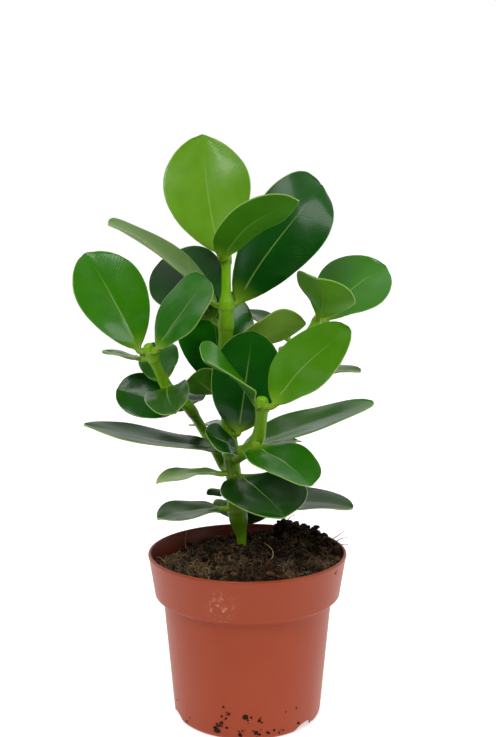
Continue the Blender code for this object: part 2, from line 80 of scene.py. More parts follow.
# Soil, as in the model.
SOIL_MIDDLE = 101.0
SOIL_EDGE = 97.5
SOIL_SAG = 9.5
SOIL_SAG_ANGLE = 150.0
SOIL_RELIEF = 1.8
SOIL_GRAIN = 9.0
SOIL_SPOKES = 260
SOIL_RINGS = 80
CLUMPS = (
    # x, y, height, radius
    (24.0, 33.0, 8.0, 9.0),
    (38.0, 27.0, 6.0, 12.0),
    (47.0, 12.0, 4.5, 10.0),
    (-22.0, -12.0, 2.5, 12.0),
    (15.0, -38.0, 2.0, 12.0),
)

# White grains that show on the soil, x and y.
PERLITE_PLACES = (
    (-15.0, 20.0),
    (-19.0, 17.5),
    (-27.0, -6.0),
    (-24.0, 4.0),
    (30.0, -6.0),
    (8.0, 22.0),
    (20.0, -12.0),
)
# Tangles of coir on the soil: x, y and radius.
MATS = (
    (-46.0, -10.0, 8.0),
    (-38.0, -22.0, 8.0),
    (-49.0, 4.0, 6.0),
    (-26.0, -33.0, 8.0),
    (-8.0, -26.0, 6.0),
    (22.0, -38.0, 6.0),
    (44.0, -18.0, 6.0),
    (34.0, 14.0, 7.0),
)
# Single stalks that stand out of the soil, as points from their foot.
SPRIGS = (
    ((-38.5, 23.0, 93.0), (-39.0, 23.5, 99.0), (-38.2, 23.5, 105.0)),
    ((51.0, 13.0, 98.0), (57.0, 14.0, 102.5), (62.5, 15.0, 103.5)),
    ((49.0, 20.0, 98.0), (57.5, 21.0, 103.5), (62.0, 24.0, 106.0)),
    ((52.0, 6.0, 97.5), (58.5, 7.0, 101.5), (62.5, 5.0, 101.5)),
    ((14.0, -20.0, 99.0), (15.0, -18.0, 105.0), (10.0, -14.0, 109.0)),
    ((-48.0, -14.0, 96.0), (-52.0, -16.0, 100.5), (-53.0, -20.0, 101.5)),
    ((24.0, 34.0, 105.0), (27.0, 34.0, 111.0), (31.0, 33.0, 113.0)),
)
# Soil that sticks to the pot: angle in degrees, height and size of each crumb.
SPECKS = (
    (-107.2, 20.6, 1.6),
    (-103.2, 16.6, 2.2),
    (-108.6, 14.8, 1.7),
    (-105.6, 13.4, 1.3),
    (-91.3, 15.3, 2.8),
    (-89.5, 13.2, 1.3),
    (-109.1, 10.3, 3.0),
    (-111.0, 8.2, 1.8),
    (-112.6, 5.3, 3.4),
    (-114.6, 6.6, 2.0),
    (-81.5, 12.6, 2.1),
    (-79.6, 11.4, 1.2),
    (-143.1, 3.6, 1.4),
    (-138.5, 7.1, 1.0),
    (-95.4, 4.0, 2.3),
    (-93.6, 6.6, 1.5),
    (-83.6, 5.1, 2.4),
    (-81.2, 4.0, 1.7),
    (-74.6, 4.6, 1.8),
    (-69.9, 5.7, 1.4),
    (-65.7, 3.4, 1.7),
    (-62.5, 4.5, 1.3),
    (-51.8, 16.2, 1.3),
    (-60.8, 15.6, 0.9),
    (-48.7, 5.8, 1.5),
    (-35.0, 3.0, 1.4),
    (-158.0, 12.3, 0.9),
    (-29.8, 95.3, 2.0),
)
SCUFF_PLACE = (-0.0155, -0.0560, 0.0840)

# Stems, as in the model: x, y, z and radius of the axis, from the root up.
MAIN_STEM = (
    (-3.0, 12.5, 78.0, 2.2),
    (-3.5, 12.5, 102.0, 2.9),
    (-4.5, 12.5, 109.5, 4.2),
    (-5.5, 12.5, 116.0, 5.8),
    (-6.5, 12.5, 124.0, 5.4),
    (-8.0, 12.0, 140.0, 4.3),
    (-10.0, 11.0, 157.0, 4.3),
    (-11.5, 10.0, 178.0, 4.1),
    (-12.5, 9.0, 203.0, 4.1),
    (-13.0, 8.0, 226.0, 4.3),
    (-12.5, 7.0, 246.0, 4.2),
    (-12.5, 6.0, 258.0, 2.9),
    (-12.5, 5.0, 281.0, 2.8),
)
BRANCHES = {
    # name: (height of its root on the main stem, points after the root)
    "branch_left": (
        149.0,
        (
            (-20.0, 18.5, 158.0, 2.9),
            (-27.0, 19.0, 170.0, 2.9),
            (-36.0, 9.0, 187.0, 3.0),
            (-46.5, -3.0, 199.0, 3.0),
            (-53.0, -10.0, 214.0, 2.9),
            (-57.5, -14.0, 226.0, 2.7),
        ),
    ),
    "branch_front": (
        156.0,
        (
            (0.0, -5.0, 163.0, 3.3),
            (6.0, -16.0, 172.0, 3.6),
            (8.0, -19.0, 184.0, 3.6),
            (8.5, -20.0, 196.0, 3.3),
        ),
    ),
    "branch_back": (
        176.0,
        (
            (3.0, 20.0, 182.0, 2.7),
            (11.0, 26.0, 189.0, 2.7),
            (20.0, 31.0, 200.0, 2.7),
            (29.0, 37.0, 218.0, 2.7),
            (39.0, 41.0, 229.0, 2.6),
            (46.0, 42.0, 240.0, 2.5),
        ),
    ),
}
STEM_STEP = 5.5
STEM_FINE_STEP = 0.8
STEM_SIDES = 24
NODE_SWELL = 0.6
NODE_SPREAD = 3.5
GAP = 0.4
BUD = ((1.0, 0.85), (1.9, 0.5))
TIP_TAPER = 4.0
AGE_TOP = 230.0
AGE_FOOT = 100.0

# Leaves, as in the model.
BLADE_EDGE = 0.8
RIB_DEPTH = 1.1
STALK_WIDTH = 4.0
STALK_DEPTH = 3.2
TIP_WIDTH = 0.8
RIB_SHARPNESS = 0.22
PATH_STEPS = 192
LEAF_FIELDS = "name stem height azimuth elevation roll length width tone"
SHAPE_DEFAULTS = {
    "widest": 0.56,  # where the blade is widest, from 0 at its base to 1 at its tip
    "tip": 0.55,  # under 0.5 is blunt, over 0.6 is pointed
    "fold": 10.0,  # degrees that each half rises from the midrib
    "arch": 18.0,  # degrees that the blade bends back from base to tip
    "hook": 0.0,  # further degrees in the last third
    "bow": 0.0,  # degrees that the midrib curves sideways from base to tip
    "wave": 0.9,  # height of the margin's waves
    "phase": 0.0,  # where the waves start, in turns
    "stalk": 3.5,
    "swing": 0.0,  # degrees that the root sits round the stem from the blade's azimuth
}
Leaf = namedtuple("Leaf", LEAF_FIELDS.split() + list(SHAPE_DEFAULTS))
LEAVES = (
    ("leaf_top_back", "main", 277, 131, 78, -35, 72, 52, "young",
     {"fold": 6, "tip": 0.74, "arch": 11, "bow": 15}),
    ("leaf_top_front", "main", 276, -38, 30, -16, 64, 34, "young",
     {"fold": 7, "arch": 20, "tip": 0.48, "bow": -44, "swing": -85, "stalk": 4.7}),
    ("leaf_crown_right", "main", 248, 26, 51, 89, 93, 49, "dark",
     {"fold": 5, "arch": 7, "hook": 34, "bow": 22, "tip": 0.46, "widest": 0.62, "swing": 15}),
    ("leaf_crown_left", "main", 248, 177, 37, -8, 81, 38, "grey",
     {"fold": 17, "arch": 12, "bow": -50, "tip": 0.36, "phase": 0.4, "stalk": 3}),
    ("leaf_shoulder_back", "main", 236, 130, 35, -43, 62, 48, "dark",
     {"fold": 5, "arch": 15, "tip": 0.55, "widest": 0.6, "bow": -20, "stalk": 7.4}),
    ("leaf_shoulder_front", "main", 223, 15, 16, -43, 49, 31, "olive",
     {"fold": 14, "hook": 13, "widest": 0.61, "tip": 0.6, "bow": 19, "swing": -87}),
    ("leaf_heart_back", "main", 195, 110, 66, -15, 66, 48, "dark", {}),
    ("leaf_heart_front", "main", 195, -158, 36, 45, 18, 27, "olive", {}),
    ("leaf_heart_upright", "main", 170, -40, 80, 135, 63, 42, "dark", {}),
    ("leaf_heart_rear", "main", 186, 75, 22, 0, 54, 32, "dark", {}),
    ("leaf_wing_left", "main", 162, -168, 12, -7, 85, 33, "grey",
     {"arch": -6, "widest": 0.48, "tip": 0.4, "bow": 12, "swing": 58}),
    ("leaf_wing_right", "main", 160, 14, 16, 7, 87, 40, "grey", {"arch": 1, "widest": 0.47, "tip": 0.6}),
    ("leaf_waist_left", "main", 172, 118, -8, -3, 40, 20, "dark", {}),
    ("leaf_waist_right", "main", 154, 34, 6, 0, 42, 32, "dark", {}),
    ("leaf_skirt_front", "main", 145, -63, -12, 6, 58, 50, "dark", {}),
    ("leaf_skirt_left", "main", 146, -158, -4, -8, 41, 16, "grey", {"fold": 14, "arch": 30, "bow": -15}),
    ("leaf_skirt_back", "main", 133, 110, -24, -4, 20, 24, "dark", {}),
    ("leaf_foot_left", "main", 124, -156, -2, -7, 42, 29, "grey", {}),
    ("leaf_foot_right", "main", 125, -5, -1, 8, 62, 36, "grey", {"arch": 14, "tip": 0.6, "bow": 16}),
    ("leaf_foot_back", "main", 125, 82, -36, 0, 40, 40, "dark", {"arch": 20, "fold": 14}),
    ("leaf_left_high", "branch_left", 224, 164, 60, -49, 64, 42, "young",
     {"fold": 14, "arch": 23, "tip": 0.65, "swing": 15, "stalk": 4.5}),
    ("leaf_left_inner", "branch_left", 223, 1, 53, 36, 49, 40, "young",
     {"fold": 6, "arch": 10, "widest": 0.63, "tip": 0.36, "bow": 12, "swing": -45, "stalk": 4}),
    ("leaf_left_behind", "branch_left", 201, 98, 40, -14, 30, 25, "grey",
     {"arch": 15, "hook": 5, "tip": 0.4, "bow": 32}),
    ("leaf_left_heart", "branch_left", 202, -81, -11, 18, 42, 26, "mid",
     {"fold": 14, "arch": 38, "widest": 0.5, "tip": 0.36, "bow": -12, "stalk": 2.5}),
    ("leaf_left_level", "branch_left", 219, 170, 9, 4, 24, 18, "grey", {"arch": 6, "wave": 0.4}),
    ("leaf_left_low", "branch_left", 187, 179, 18, -62, 38, 28, "dark", {"tip": 0.46}),
    ("leaf_left_tucked", "branch_left", 184, 95, 14, 10, 24, 22, "grey", {}),
    ("leaf_front_folded", "branch_front", 193, -139, 36, -27, 47, 42, "young",
     {"fold": 15, "arch": 33, "hook": 4, "widest": 0.71, "tip": 0.48, "bow": -15, "swing": 20}),
    ("leaf_front_high", "branch_front", 192, 8, 44, 35, 62, 43, "young",
     {"fold": 6, "arch": 6, "tip": 0.63, "widest": 0.52, "bow": 31, "swing": -42, "stalk": 5}),
    ("leaf_front_low", "branch_front", 172, -53, -15, 6, 51, 37, "mid",
     {"arch": 14, "hook": 4, "widest": 0.46, "tip": 0.52, "swing": -35}),
    ("leaf_front_small", "branch_front", 162, -146, 32, -47, 26, 20, "dark", {"stalk": 2.5}),
    ("leaf_right_front", "branch_back", 238, -96, 30, -23, 51, 39, "olive",
     {"fold": 15, "arch": 14, "hook": 4, "widest": 0.63, "bow": 31}),
    ("leaf_right_back", "branch_back", 238, 24, 36, 33, 55, 51, "young",
     {"fold": 12, "arch": 21, "tip": 0.69, "bow": 26}),
    ("leaf_right_inner", "branch_back", 221, 152, 30, 0, 36, 26, "grey", {}),
    ("leaf_right_level", "branch_back", 206, -5, 2, 6, 41, 26, "grey", {"arch": 8}),
    ("leaf_right_low", "branch_back", 210, 65, 12, 0, 44, 32, "mid", {}),
)

STALK_RINGS = 5
STALK_GREEN = (0.20, 0.36, 0.015)
BLADE_SWELL = 0.9
LEAF_TINTS_AND_PAINTED_LIGHT = {
    # upper face, lower face. Each pair is partly the leaf's own colour and partly painted light: painted
    # shade darkens the leaves that lie in shade, and painted sheen pales and greys the level ones.
    "leaf_top_back": ("#689B21", "#5C8A2C"),
    "leaf_top_front": ("#4E8E1C", "#387401"),
    "leaf_crown_right": ("#024701", "#2E5A16"),
    "leaf_crown_left": ("#567C16", "#6C8450"),
    "leaf_shoulder_back": ("#074301", "#2E4E22"),
    "leaf_shoulder_front": ("#4A7024", "#6A8F27"),
    "leaf_heart_back": ("#1B7C03", "#557A22"),
    "leaf_heart_front": ("#3A6A18", "#366902"),
    "leaf_heart_upright": ("#024801", "#557A22"),
    "leaf_wing_left": ("#0B3302", "#557A22"),
    "leaf_wing_right": ("#4C7F35", "#557A22"),
    "leaf_waist_left": ("#14480F", "#557A22"),
    "leaf_waist_right": ("#063404", "#3A6420"),
    "leaf_skirt_front": ("#023401", "#3A6420"),
    "leaf_skirt_left": ("#98B472", "#7C9460"),
    "leaf_skirt_back": ("#14540F", "#184A0A"),
    "leaf_foot_left": ("#21430F", "#557A22"),
    "leaf_foot_right": ("#18390A", "#557A22"),
    "leaf_foot_back": ("#14540F", "#557A22"),
    "leaf_left_high": ("#327601", "#5C8A2C"),
    "leaf_left_inner": ("#226701", "#5C8A2C"),
    "leaf_left_behind": ("#2B7207", "#4A6A3A"),
    "leaf_left_heart": ("#1B4C02", "#4A6A30"),
    "leaf_left_level": ("#46783A", "#6C8450"),
    "leaf_left_low": ("#0F5001", "#3A6420"),
    "leaf_left_tucked": ("#0E4901", "#557A22"),
    "leaf_front_folded": ("#327801", "#2A5E10"),
    "leaf_front_high": ("#4B8609", "#5C8A2C"),
    "leaf_front_low": ("#1E5E01", "#4A7A24"),
    "leaf_front_small": ("#013D01", "#3A6420"),
    "leaf_right_front": ("#4A8A14", "#579202"),
    "leaf_right_back": ("#337601", "#5C8A2C"),
    "leaf_right_inner": ("#1E4807", "#557A22"),
    "leaf_right_level": ("#3B5D23", "#557A22"),
}

# A leaf's maps hold its distances in millimetres, scaled to stay within a map.
MAP_SCALE = 0.01
VEIN_LEAN = 0.85

# Stage, in metres. The picture's height and the focal length are in its pixels.
IMAGE_HEIGHT = 737
FOCAL_PIXELS = 1049.0
CAMERA_PLACE = (0.0004, -0.618, 0.2894)
CAMERA_PITCH = 0.126
FLOOR_RADIUS = 9.0
# The floor starts a little before the pot, so the leaves mirror the dark room in front of it.
FLOOR_SHIFT = 8.65
FRONT_SHADE = 0.04
SKY_EDGE = (0.80, 0.92)
LAMPS = (
    # name, place, target, (width, height), share of the key's power, tone
    ("key", (-0.45, -1.15, 1.25), (0.0, 0.0, 0.18), (0.8, 0.6), 1.0, "#FFFFFF"),
    ("side", (1.25, -0.75, 0.75), (0.0, 0.0, 0.2), (0.5, 0.7), 0.45, "#FFFFFF"),
)

MIX_FACTOR, MIX_A, MIX_B, MIX_RESULT = 0, 6, 7, 2


def linear(channel):
    if channel <= 0.04045:
        return channel / 12.92
    return ((channel + 0.055) / 1.055) ** 2.4


def rgb(hex_colour):
    """Linear red, green and blue of an sRGB hex colour."""
    return tuple(linear(int(hex_colour[i : i + 2], 16) / 255) for i in (1, 3, 5))


def rgba(colour):
    return (*colour, 1.0)


def colour_setting(name, description, hex_colour):
    return FloatVectorProperty(
        name=name, description=description, subtype="COLOR", size=3, min=0.0, max=1.0, default=rgb(hex_colour)
    )


class PotSettings(bpy.types.PropertyGroup):
    plastic: colour_setting("Plastic", "Terracotta colour of the moulded pot", "#92350F")
    scuff: colour_setting("Scuff", "Whitened plastic where the collar was rubbed", "#C98A72")
    steps: IntProperty(name="Steps", description="Faces round the pot", default=160, min=48, max=320)
    lip: FloatProperty(
        name="Lip", description="Radius of the rolled lip", default=0.001, min=0.0004, max=0.002,
        unit="LENGTH",
    )


class SoilSettings(bpy.types.PropertyGroup):
    peat: colour_setting("Peat", "Dark body of the potting soil", "#1E120A")
    bark: colour_setting("Bark", "Lighter crumbs of bark and dry peat", "#6B4A2C")
    coir: colour_setting("Coir", "Light dry fibres", "#DDBB82")
    perlite: colour_setting("Perlite", "Small white grains", "#D8D2C4")
    crumbs: IntProperty(name="Crumbs", description="Loose crumbs on the soil", default=1500, min=0, max=2500)
    fibres: IntProperty(name="Fibres", description="Loose fibres on the soil", default=2600, min=0, max=3500)
    relief: FloatProperty(
        name="Relief", description="Height of the crumbly surface", default=0.0026, min=0.0, max=0.005,
        unit="LENGTH",
    )


class StemSettings(bpy.types.PropertyGroup):
    green: colour_setting("Green shoot", "Young stem near its top", "#7CB410")
    old: colour_setting("Old stem", "Stem near the soil", "#3A5C0A")
    ring: colour_setting("Node ring", "Corky ring where leaves spring from a stem", "#6E7424")


class LeafSettings(bpy.types.PropertyGroup):
    young: colour_setting("Young", "Upper face of the leaves at the tips", "#4C9A1C")
    mid: colour_setting("Grown", "Upper face of the grown leaves", "#2B7D17")
    dark: colour_setting("Old", "Upper face of the old leaves", "#14540F")
    grey: colour_setting("Shaded", "Upper face of the low, level leaves", "#2C5A22")
    olive: colour_setting("Turned", "Upper face of the leaves seen from below", "#2E6A14")
    under: colour_setting("Underside", "Matt lower face of the leaves", "#557A22")
    margin: colour_setting("Margin", "Pale line round each blade", "#A6C266")
    margin_width: FloatProperty(
        name="Margin width", description="Width of the pale line", default=0.00045, min=0.0, max=0.002,
        unit="LENGTH",
    )
    across: IntProperty(name="Across", description="Faces over a blade", default=24, min=8, max=48)
    along: IntProperty(
        name="Along", description="Faces from a blade's base to tip", default=40, min=12, max=96
    )


class StageSettings(bpy.types.PropertyGroup):
    floor: colour_setting("Floor", "Plain pale floor", "#F4F4F2")
    glow: FloatProperty(
        name="Glow", description="Light that comes up through the floor", default=0.5, min=0.0
    )
    sky: FloatProperty(name="Sky", description="Strength of the soft surrounding light", default=1.0, min=0.0)
    key: FloatProperty(
        name="Key", description="Power of the large soft box", default=16.0, min=0.0, unit="POWER"
    )


def add_node(tree, kind, output, sockets=None, **settings):
    """A shader node with its settings. A socket is given a value, or another node's output to link.

    Returns the output that is asked for.
    """
    node = tree.nodes.new("ShaderNode" + kind)
    for name, value in settings.items():
        setattr(node, name, value)
    for key, value in (sockets or {}).items():
        if isinstance(value, bpy.types.NodeSocket):
            tree.links.new(value, node.inputs[key])
        else:
            node.inputs[key].default_value = value
    return node.outputs[output]


def new_material(name, values):
    """A Principled material: itself, a maker of its nodes, and a setter of links to its shader."""
    material = bpy.data.materials.new(name)
    material.use_nodes = True
    tree = material.node_tree
    shader = tree.nodes["Principled BSDF"]
    for key, value in values.items():
        shader.inputs[key].default_value = value

    def drive(socket, source):
        tree.links.new(source, shader.inputs[socket])

    return material, partial(add_node, tree), drive


def per_metre(millimetres):
    """Noise scale for features of this size."""
    return 1.0 / (millimetres * MM)


def pot_plastic(settings):
    """Polypropylene, thermoformed: an even terracotta with a soft, broad sheen from a slightly matt mould.

    A rubbed patch on the collar is whitened, a few pale nicks lie on the rest, and painted shade darkens the
    inside of the collar.
    """
    material, node, drive = new_material(
        "polypropylene_thermoformed", {"IOR": 1.49, "Roughness": 0.42, "Specular IOR Level": 0.3}
    )
    place = node("TexCoord", "Object")
    cloud = node("TexNoise", "Fac", {"Vector": place, "Scale": per_metre(22), "Detail": 4.0})
    cloud = node("MapRange", "Result", {"Value": cloud, "From Min": 0.3, "From Max": 0.9, "To Max": 0.35})
    faded = rgba(rgb("#9A4426"))
    base = node("Mix", MIX_RESULT, {MIX_FACTOR: cloud, MIX_A: rgba(settings.plastic), MIX_B: faded},
                data_type="RGBA")
    # Painted shade: the collar's inside, where the radius is less than the middle of its wall's, is darkened
    # to a deep red from about 80 mm up.
    flat = node("VectorMath", "Vector", {0: place, 1: (1.0, 1.0, 0.0)}, operation="MULTIPLY")
    radius = node("VectorMath", "Value", {0: flat}, operation="LENGTH")
    height = node("SeparateXYZ", "Z", {"Vector": place})
    flare = (RIM_RADIUS - COLLAR_FOOT_RADIUS) / COLLAR_HEIGHT
    depth = node("Math", "Value", {0: height, 1: -flare, 2: radius}, operation="MULTIPLY_ADD")
    middle = (COLLAR_FOOT_RADIUS - 0.8 * WALL - flare * (POT_HEIGHT - COLLAR_HEIGHT)) * MM
    painted_inner_shade = node("MapRange", "Result", {"Value": depth, "From Min": middle + 0.3 * MM,
                                          "From Max": middle - 0.3 * MM, "To Max": 0.75})
    above = node("MapRange", "Result", {"Value": height, "From Min": 79 * MM, "From Max": 82 * MM})
    painted_inner_shade = node("Math", "Value", {0: painted_inner_shade, 1: above}, operation="MULTIPLY")
    # This deep red is painted shade on the inner wall.
    base = node("Mix", MIX_RESULT, {MIX_FACTOR: painted_inner_shade, MIX_A: base, MIX_B: rgba(rgb("#3E0F06"))},
                data_type="RGBA")
    away = node("VectorMath", "Value", {0: place, 1: SCUFF_PLACE}, operation="DISTANCE")
    near = node("MapRange", "Result", {"Value": away, "From Min": 0.012, "From Max": 0.003},
                interpolation_type="SMOOTHSTEP")
    rough = node("TexNoise", "Fac", {"Vector": place, "Scale": per_metre(2.4), "Detail": 6.0,
                                     "Roughness": 0.75})
    rough = node("MapRange", "Result", {"Value": rough, "From Min": 0.5, "From Max": 0.62},
                 interpolation_type="SMOOTHSTEP")
    worn = node("Math", "Value", {0: near, 1: rough}, operation="MULTIPLY")
    nicks = node("TexNoise", "Fac", {"Vector": place, "Scale": per_metre(3.5), "Detail": 3.0})
    nicks = node("MapRange", "Result", {"Value": nicks, "From Min": 0.72, "From Max": 0.80, "To Max": 0.35},
                 interpolation_type="SMOOTHSTEP")
    marks = node("Math", "Value", {0: worn, 1: nicks}, operation="MAXIMUM")
    marks = node("Math", "Value", {0: marks, 1: 0.7}, operation="MULTIPLY")
    drive("Base Color", node("Mix", MIX_RESULT, {MIX_FACTOR: marks, MIX_A: base, MIX_B: rgba(settings.scuff)},
                             data_type="RGBA"))
    # The mould's grain is about 0.8 mm across.
    grain = node("TexNoise", "Fac", {"Vector": place, "Scale": per_metre(0.8), "Detail": 4.0})
    drive("Normal", node("Bump", "Normal", {"Height": grain, "Strength": 0.12, "Distance": 0.0002}))
    return material


def tinted_surface(name, values, grain, depth):
    """A rough natural surface with grain in millimetres, which takes its colour from the piece's own tint."""
    material, node, drive = new_material(name, values)
    tint = node("Attribute", "Color", attribute_name="tint")
    place = node("TexCoord", "Object")
    spots = node("TexNoise", "Fac", {"Vector": place, "Scale": per_metre(grain), "Detail": 6.0,
                                     "Roughness": 0.7})
    spots = node("MapRange", "Result", {"Value": spots, "From Min": 0.3, "From Max": 0.75},
                 interpolation_type="SMOOTHSTEP")
    dark = node("Mix", MIX_RESULT, {MIX_FACTOR: 1.0, MIX_A: tint, MIX_B: (0.35, 0.33, 0.32, 1.0)},
                data_type="RGBA", blend_type="MULTIPLY")
    drive("Base Color", node("Mix", MIX_RESULT, {MIX_FACTOR: spots, MIX_A: dark, MIX_B: tint},
                             data_type="RGBA"))
    fine = node("TexNoise", "Fac", {"Vector": place, "Scale": per_metre(0.6 * grain), "Detail": 8.0,
                                    "Roughness": 0.7})
    drive("Normal", node("Bump", "Normal", {"Height": fine, "Strength": 0.8, "Distance": depth * MM}))
    return material


def soil_peat():
    """Peat and coir, sieved and moist: dark and matt, broken up by crumbs about 1.5 mm across."""
    values = {"Roughness": 0.92, "IOR": 1.4, "Specular IOR Level": 0.25}
    return tinted_surface("peat_sieved", values, 1.6, 0.6)


def stem_bark():
    """Green bark, grown: a thin waxy skin with streaks along the stem, about 1 mm wide and 8 mm long."""
    material, node, drive = new_material(
        "green_bark_grown", {"Roughness": 0.42, "IOR": 1.42, "Specular IOR Level": 0.3, "Coat Weight": 0.08,
         "Coat Roughness": 0.3}
    )
    tint = node("Attribute", "Color", attribute_name="tint")
    place = node("TexCoord", "Object")
    stretched = node("Mapping", "Vector", {"Vector": place, "Scale": (1.0, 1.0, 0.12)})
    streaks = node("TexNoise", "Fac", {"Vector": stretched, "Scale": per_metre(1.1), "Detail": 3.0})
    streaks = node("MapRange", "Result", {"Value": streaks, "From Min": 0.35, "From Max": 0.7},
                   interpolation_type="SMOOTHSTEP")
    shaded = node("Mix", MIX_RESULT, {MIX_FACTOR: 1.0, MIX_A: tint, MIX_B: (0.82, 0.86, 0.7, 1.0)},
                  data_type="RGBA", blend_type="MULTIPLY")
    drive("Base Color", node("Mix", MIX_RESULT, {MIX_FACTOR: streaks, MIX_A: shaded, MIX_B: tint},
                             data_type="RGBA"))
    drive("Normal", node("Bump", "Normal", {"Height": streaks, "Strength": 0.1, "Distance": 0.0003}))
    return material


def leaf_skin(name, values, settings, vein_share, rib_share, relief_depth):
    """Leaf cuticle over its veins. The leaf's maps give the distances from midrib, margin and side veins."""
    material, node, drive = new_material(name, values)
    ease = {"interpolation_type": "SMOOTHSTEP"}
    pale = rgba(settings.margin)
    tint = node("Attribute", "Color", attribute_name="tint")
    place = node("TexCoord", "Object")
    lines = node("UVMap", "UV", uv_map="rib_margin")
    runs = node("UVMap", "UV", uv_map="veins")
    from_rib = node("SeparateXYZ", "X", {"Vector": lines})
    from_margin = node("SeparateXYZ", "Y", {"Vector": lines})
    vein_run = node("SeparateXYZ", "X", {"Vector": runs})
    reach = node("SeparateXYZ", "Y", {"Vector": runs})

    # The blade is mottled over about 12 mm.
    cloud = node("TexNoise", "Fac", {"Vector": place, "Scale": per_metre(12), "Detail": 3.0})
    cloud = node("MapRange", "Result", {"Value": cloud, "From Min": 0.3, "From Max": 0.65}, **ease)
    deep = node("Mix", MIX_RESULT, {MIX_FACTOR: 1.0, MIX_A: tint, MIX_B: (0.85, 0.90, 0.80, 1.0)},
                data_type="RGBA", blend_type="MULTIPLY")
    blade = node("Mix", MIX_RESULT, {MIX_FACTOR: cloud, MIX_A: deep, MIX_B: tint}, data_type="RGBA")

    # Side veins lie 2.4 mm apart, wander, and show only in places.
    wander = node("TexNoise", "Fac", {"Vector": place, "Scale": per_metre(7), "Detail": 3.0})
    wander = node("Math", "Value", {0: wander, 1: 0.07}, operation="MULTIPLY")
    phase = node("Math", "Value", {0: vein_run, 1: wander}, operation="ADD")
    phase = node("Math", "Value", {0: phase, 1: 2 * math.pi / (2.4 * MAP_SCALE)}, operation="MULTIPLY")
    wave = node("Math", "Value", {0: phase}, operation="SINE")
    vein = node("MapRange", "Result", {"Value": wave, "From Min": -0.2, "From Max": 1.0}, **ease)
    patch = node("TexNoise", "Fac", {"Vector": place, "Scale": per_metre(16), "Detail": 2.0})
    patch = node("MapRange", "Result", {"Value": patch, "From Min": 0.42, "From Max": 0.62}, **ease)
    vein = node("Math", "Value", {0: vein, 1: patch}, operation="MULTIPLY")
    shown = node("Math", "Value", {0: vein, 1: vein_share}, operation="MULTIPLY")
    blade = node("Mix", MIX_RESULT, {MIX_FACTOR: shown, MIX_A: blade, MIX_B: pale}, data_type="RGBA")

    # The midrib narrows and fades towards the tip.
    rib_edge = node("MapRange", "Result", {"Value": reach, "To Min": 0.55 * MAP_SCALE,
                                           "To Max": 0.12 * MAP_SCALE})
    inside = node("Math", "Value", {0: rib_edge, 1: from_rib}, operation="SUBTRACT")
    rib = node("MapRange", "Result", {"Value": inside, "From Min": -0.3 * MAP_SCALE,
                                      "From Max": 0.3 * MAP_SCALE, "To Max": rib_share}, **ease)
    lasts = node("MapRange", "Result", {"Value": reach, "From Min": 0.97, "From Max": 0.5}, **ease)
    rib = node("Math", "Value", {0: rib, 1: lasts}, operation="MULTIPLY")
    blade = node("Mix", MIX_RESULT, {MIX_FACTOR: rib, MIX_A: blade, MIX_B: pale}, data_type="RGBA")

    width = settings.margin_width / MM * MAP_SCALE
    edge = node("MapRange", "Result", {"Value": from_margin, "From Min": 1.35 * width,
                                       "From Max": 0.5 * width}, **ease)
    edge = node("Math", "Value", {0: edge, 1: 0.55}, operation="MULTIPLY")
    drive("Base Color", node("Mix", MIX_RESULT, {MIX_FACTOR: edge, MIX_A: blade, MIX_B: pale},
                             data_type="RGBA"))

    crinkle = node("TexNoise", "Fac", {"Vector": place, "Scale": per_metre(5), "Detail": 3.0})
    relief = node("Math", "Value", {0: vein, 1: 0.35, 2: crinkle}, operation="MULTIPLY_ADD")
    drive("Normal", node("Bump", "Normal", {"Height": relief, "Strength": 0.5,
                                            "Distance": relief_depth * MM}))
    return material


def finish_piece(name, bm, materials, smooth_angle=None):
    """A piece from a bmesh in millimetres: it rides the plant and takes its finish from a slot."""
    bmesh.ops.scale(bm, vec=(MM, MM, MM), verts=bm.verts)
    mesh = bpy.data.meshes.new(name)
    bm.to_mesh(mesh)
    bm.free()
    mesh.shade_smooth()
    if smooth_angle is not None:
        mesh.set_sharp_from_angle(angle=math.radians(smooth_angle))
    piece = bpy.data.objects.new(name, mesh)
    bpy.context.scene.collection.objects.link(piece)
    for material in materials:
        mesh.materials.append(material)
    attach(piece, BODY)
    return piece


def arc(centre, radius, start, end, steps=4):
    """Points of a rounded corner, in degrees from the outward direction."""
    points = []
    for k in range(steps + 1):
        angle = math.radians(start + (end - start) * k / steps)
        points.append((centre[0] + radius * math.cos(angle), centre[1] + radius * math.sin(angle)))
    return points


def body_radius(height):
    """Outer radius of the pot's body below its shoulder."""
    rise = (height - FOOT_CORNER) / (POT_HEIGHT - COLLAR_HEIGHT - SHOULDER_DROP - FOOT_CORNER)
    return BODY_FOOT_RADIUS + (BODY_TOP_RADIUS - BODY_FOOT_RADIUS) * rise


def collar_radius(height):
    """Inner radius of the pot's collar."""
    rise = (height - (POT_HEIGHT - COLLAR_HEIGHT)) / COLLAR_HEIGHT
    foot = COLLAR_FOOT_RADIUS - WALL - 0.4
    return foot + (RIM_RADIUS - WALL - 0.6 - foot) * min(rise, 1.0)


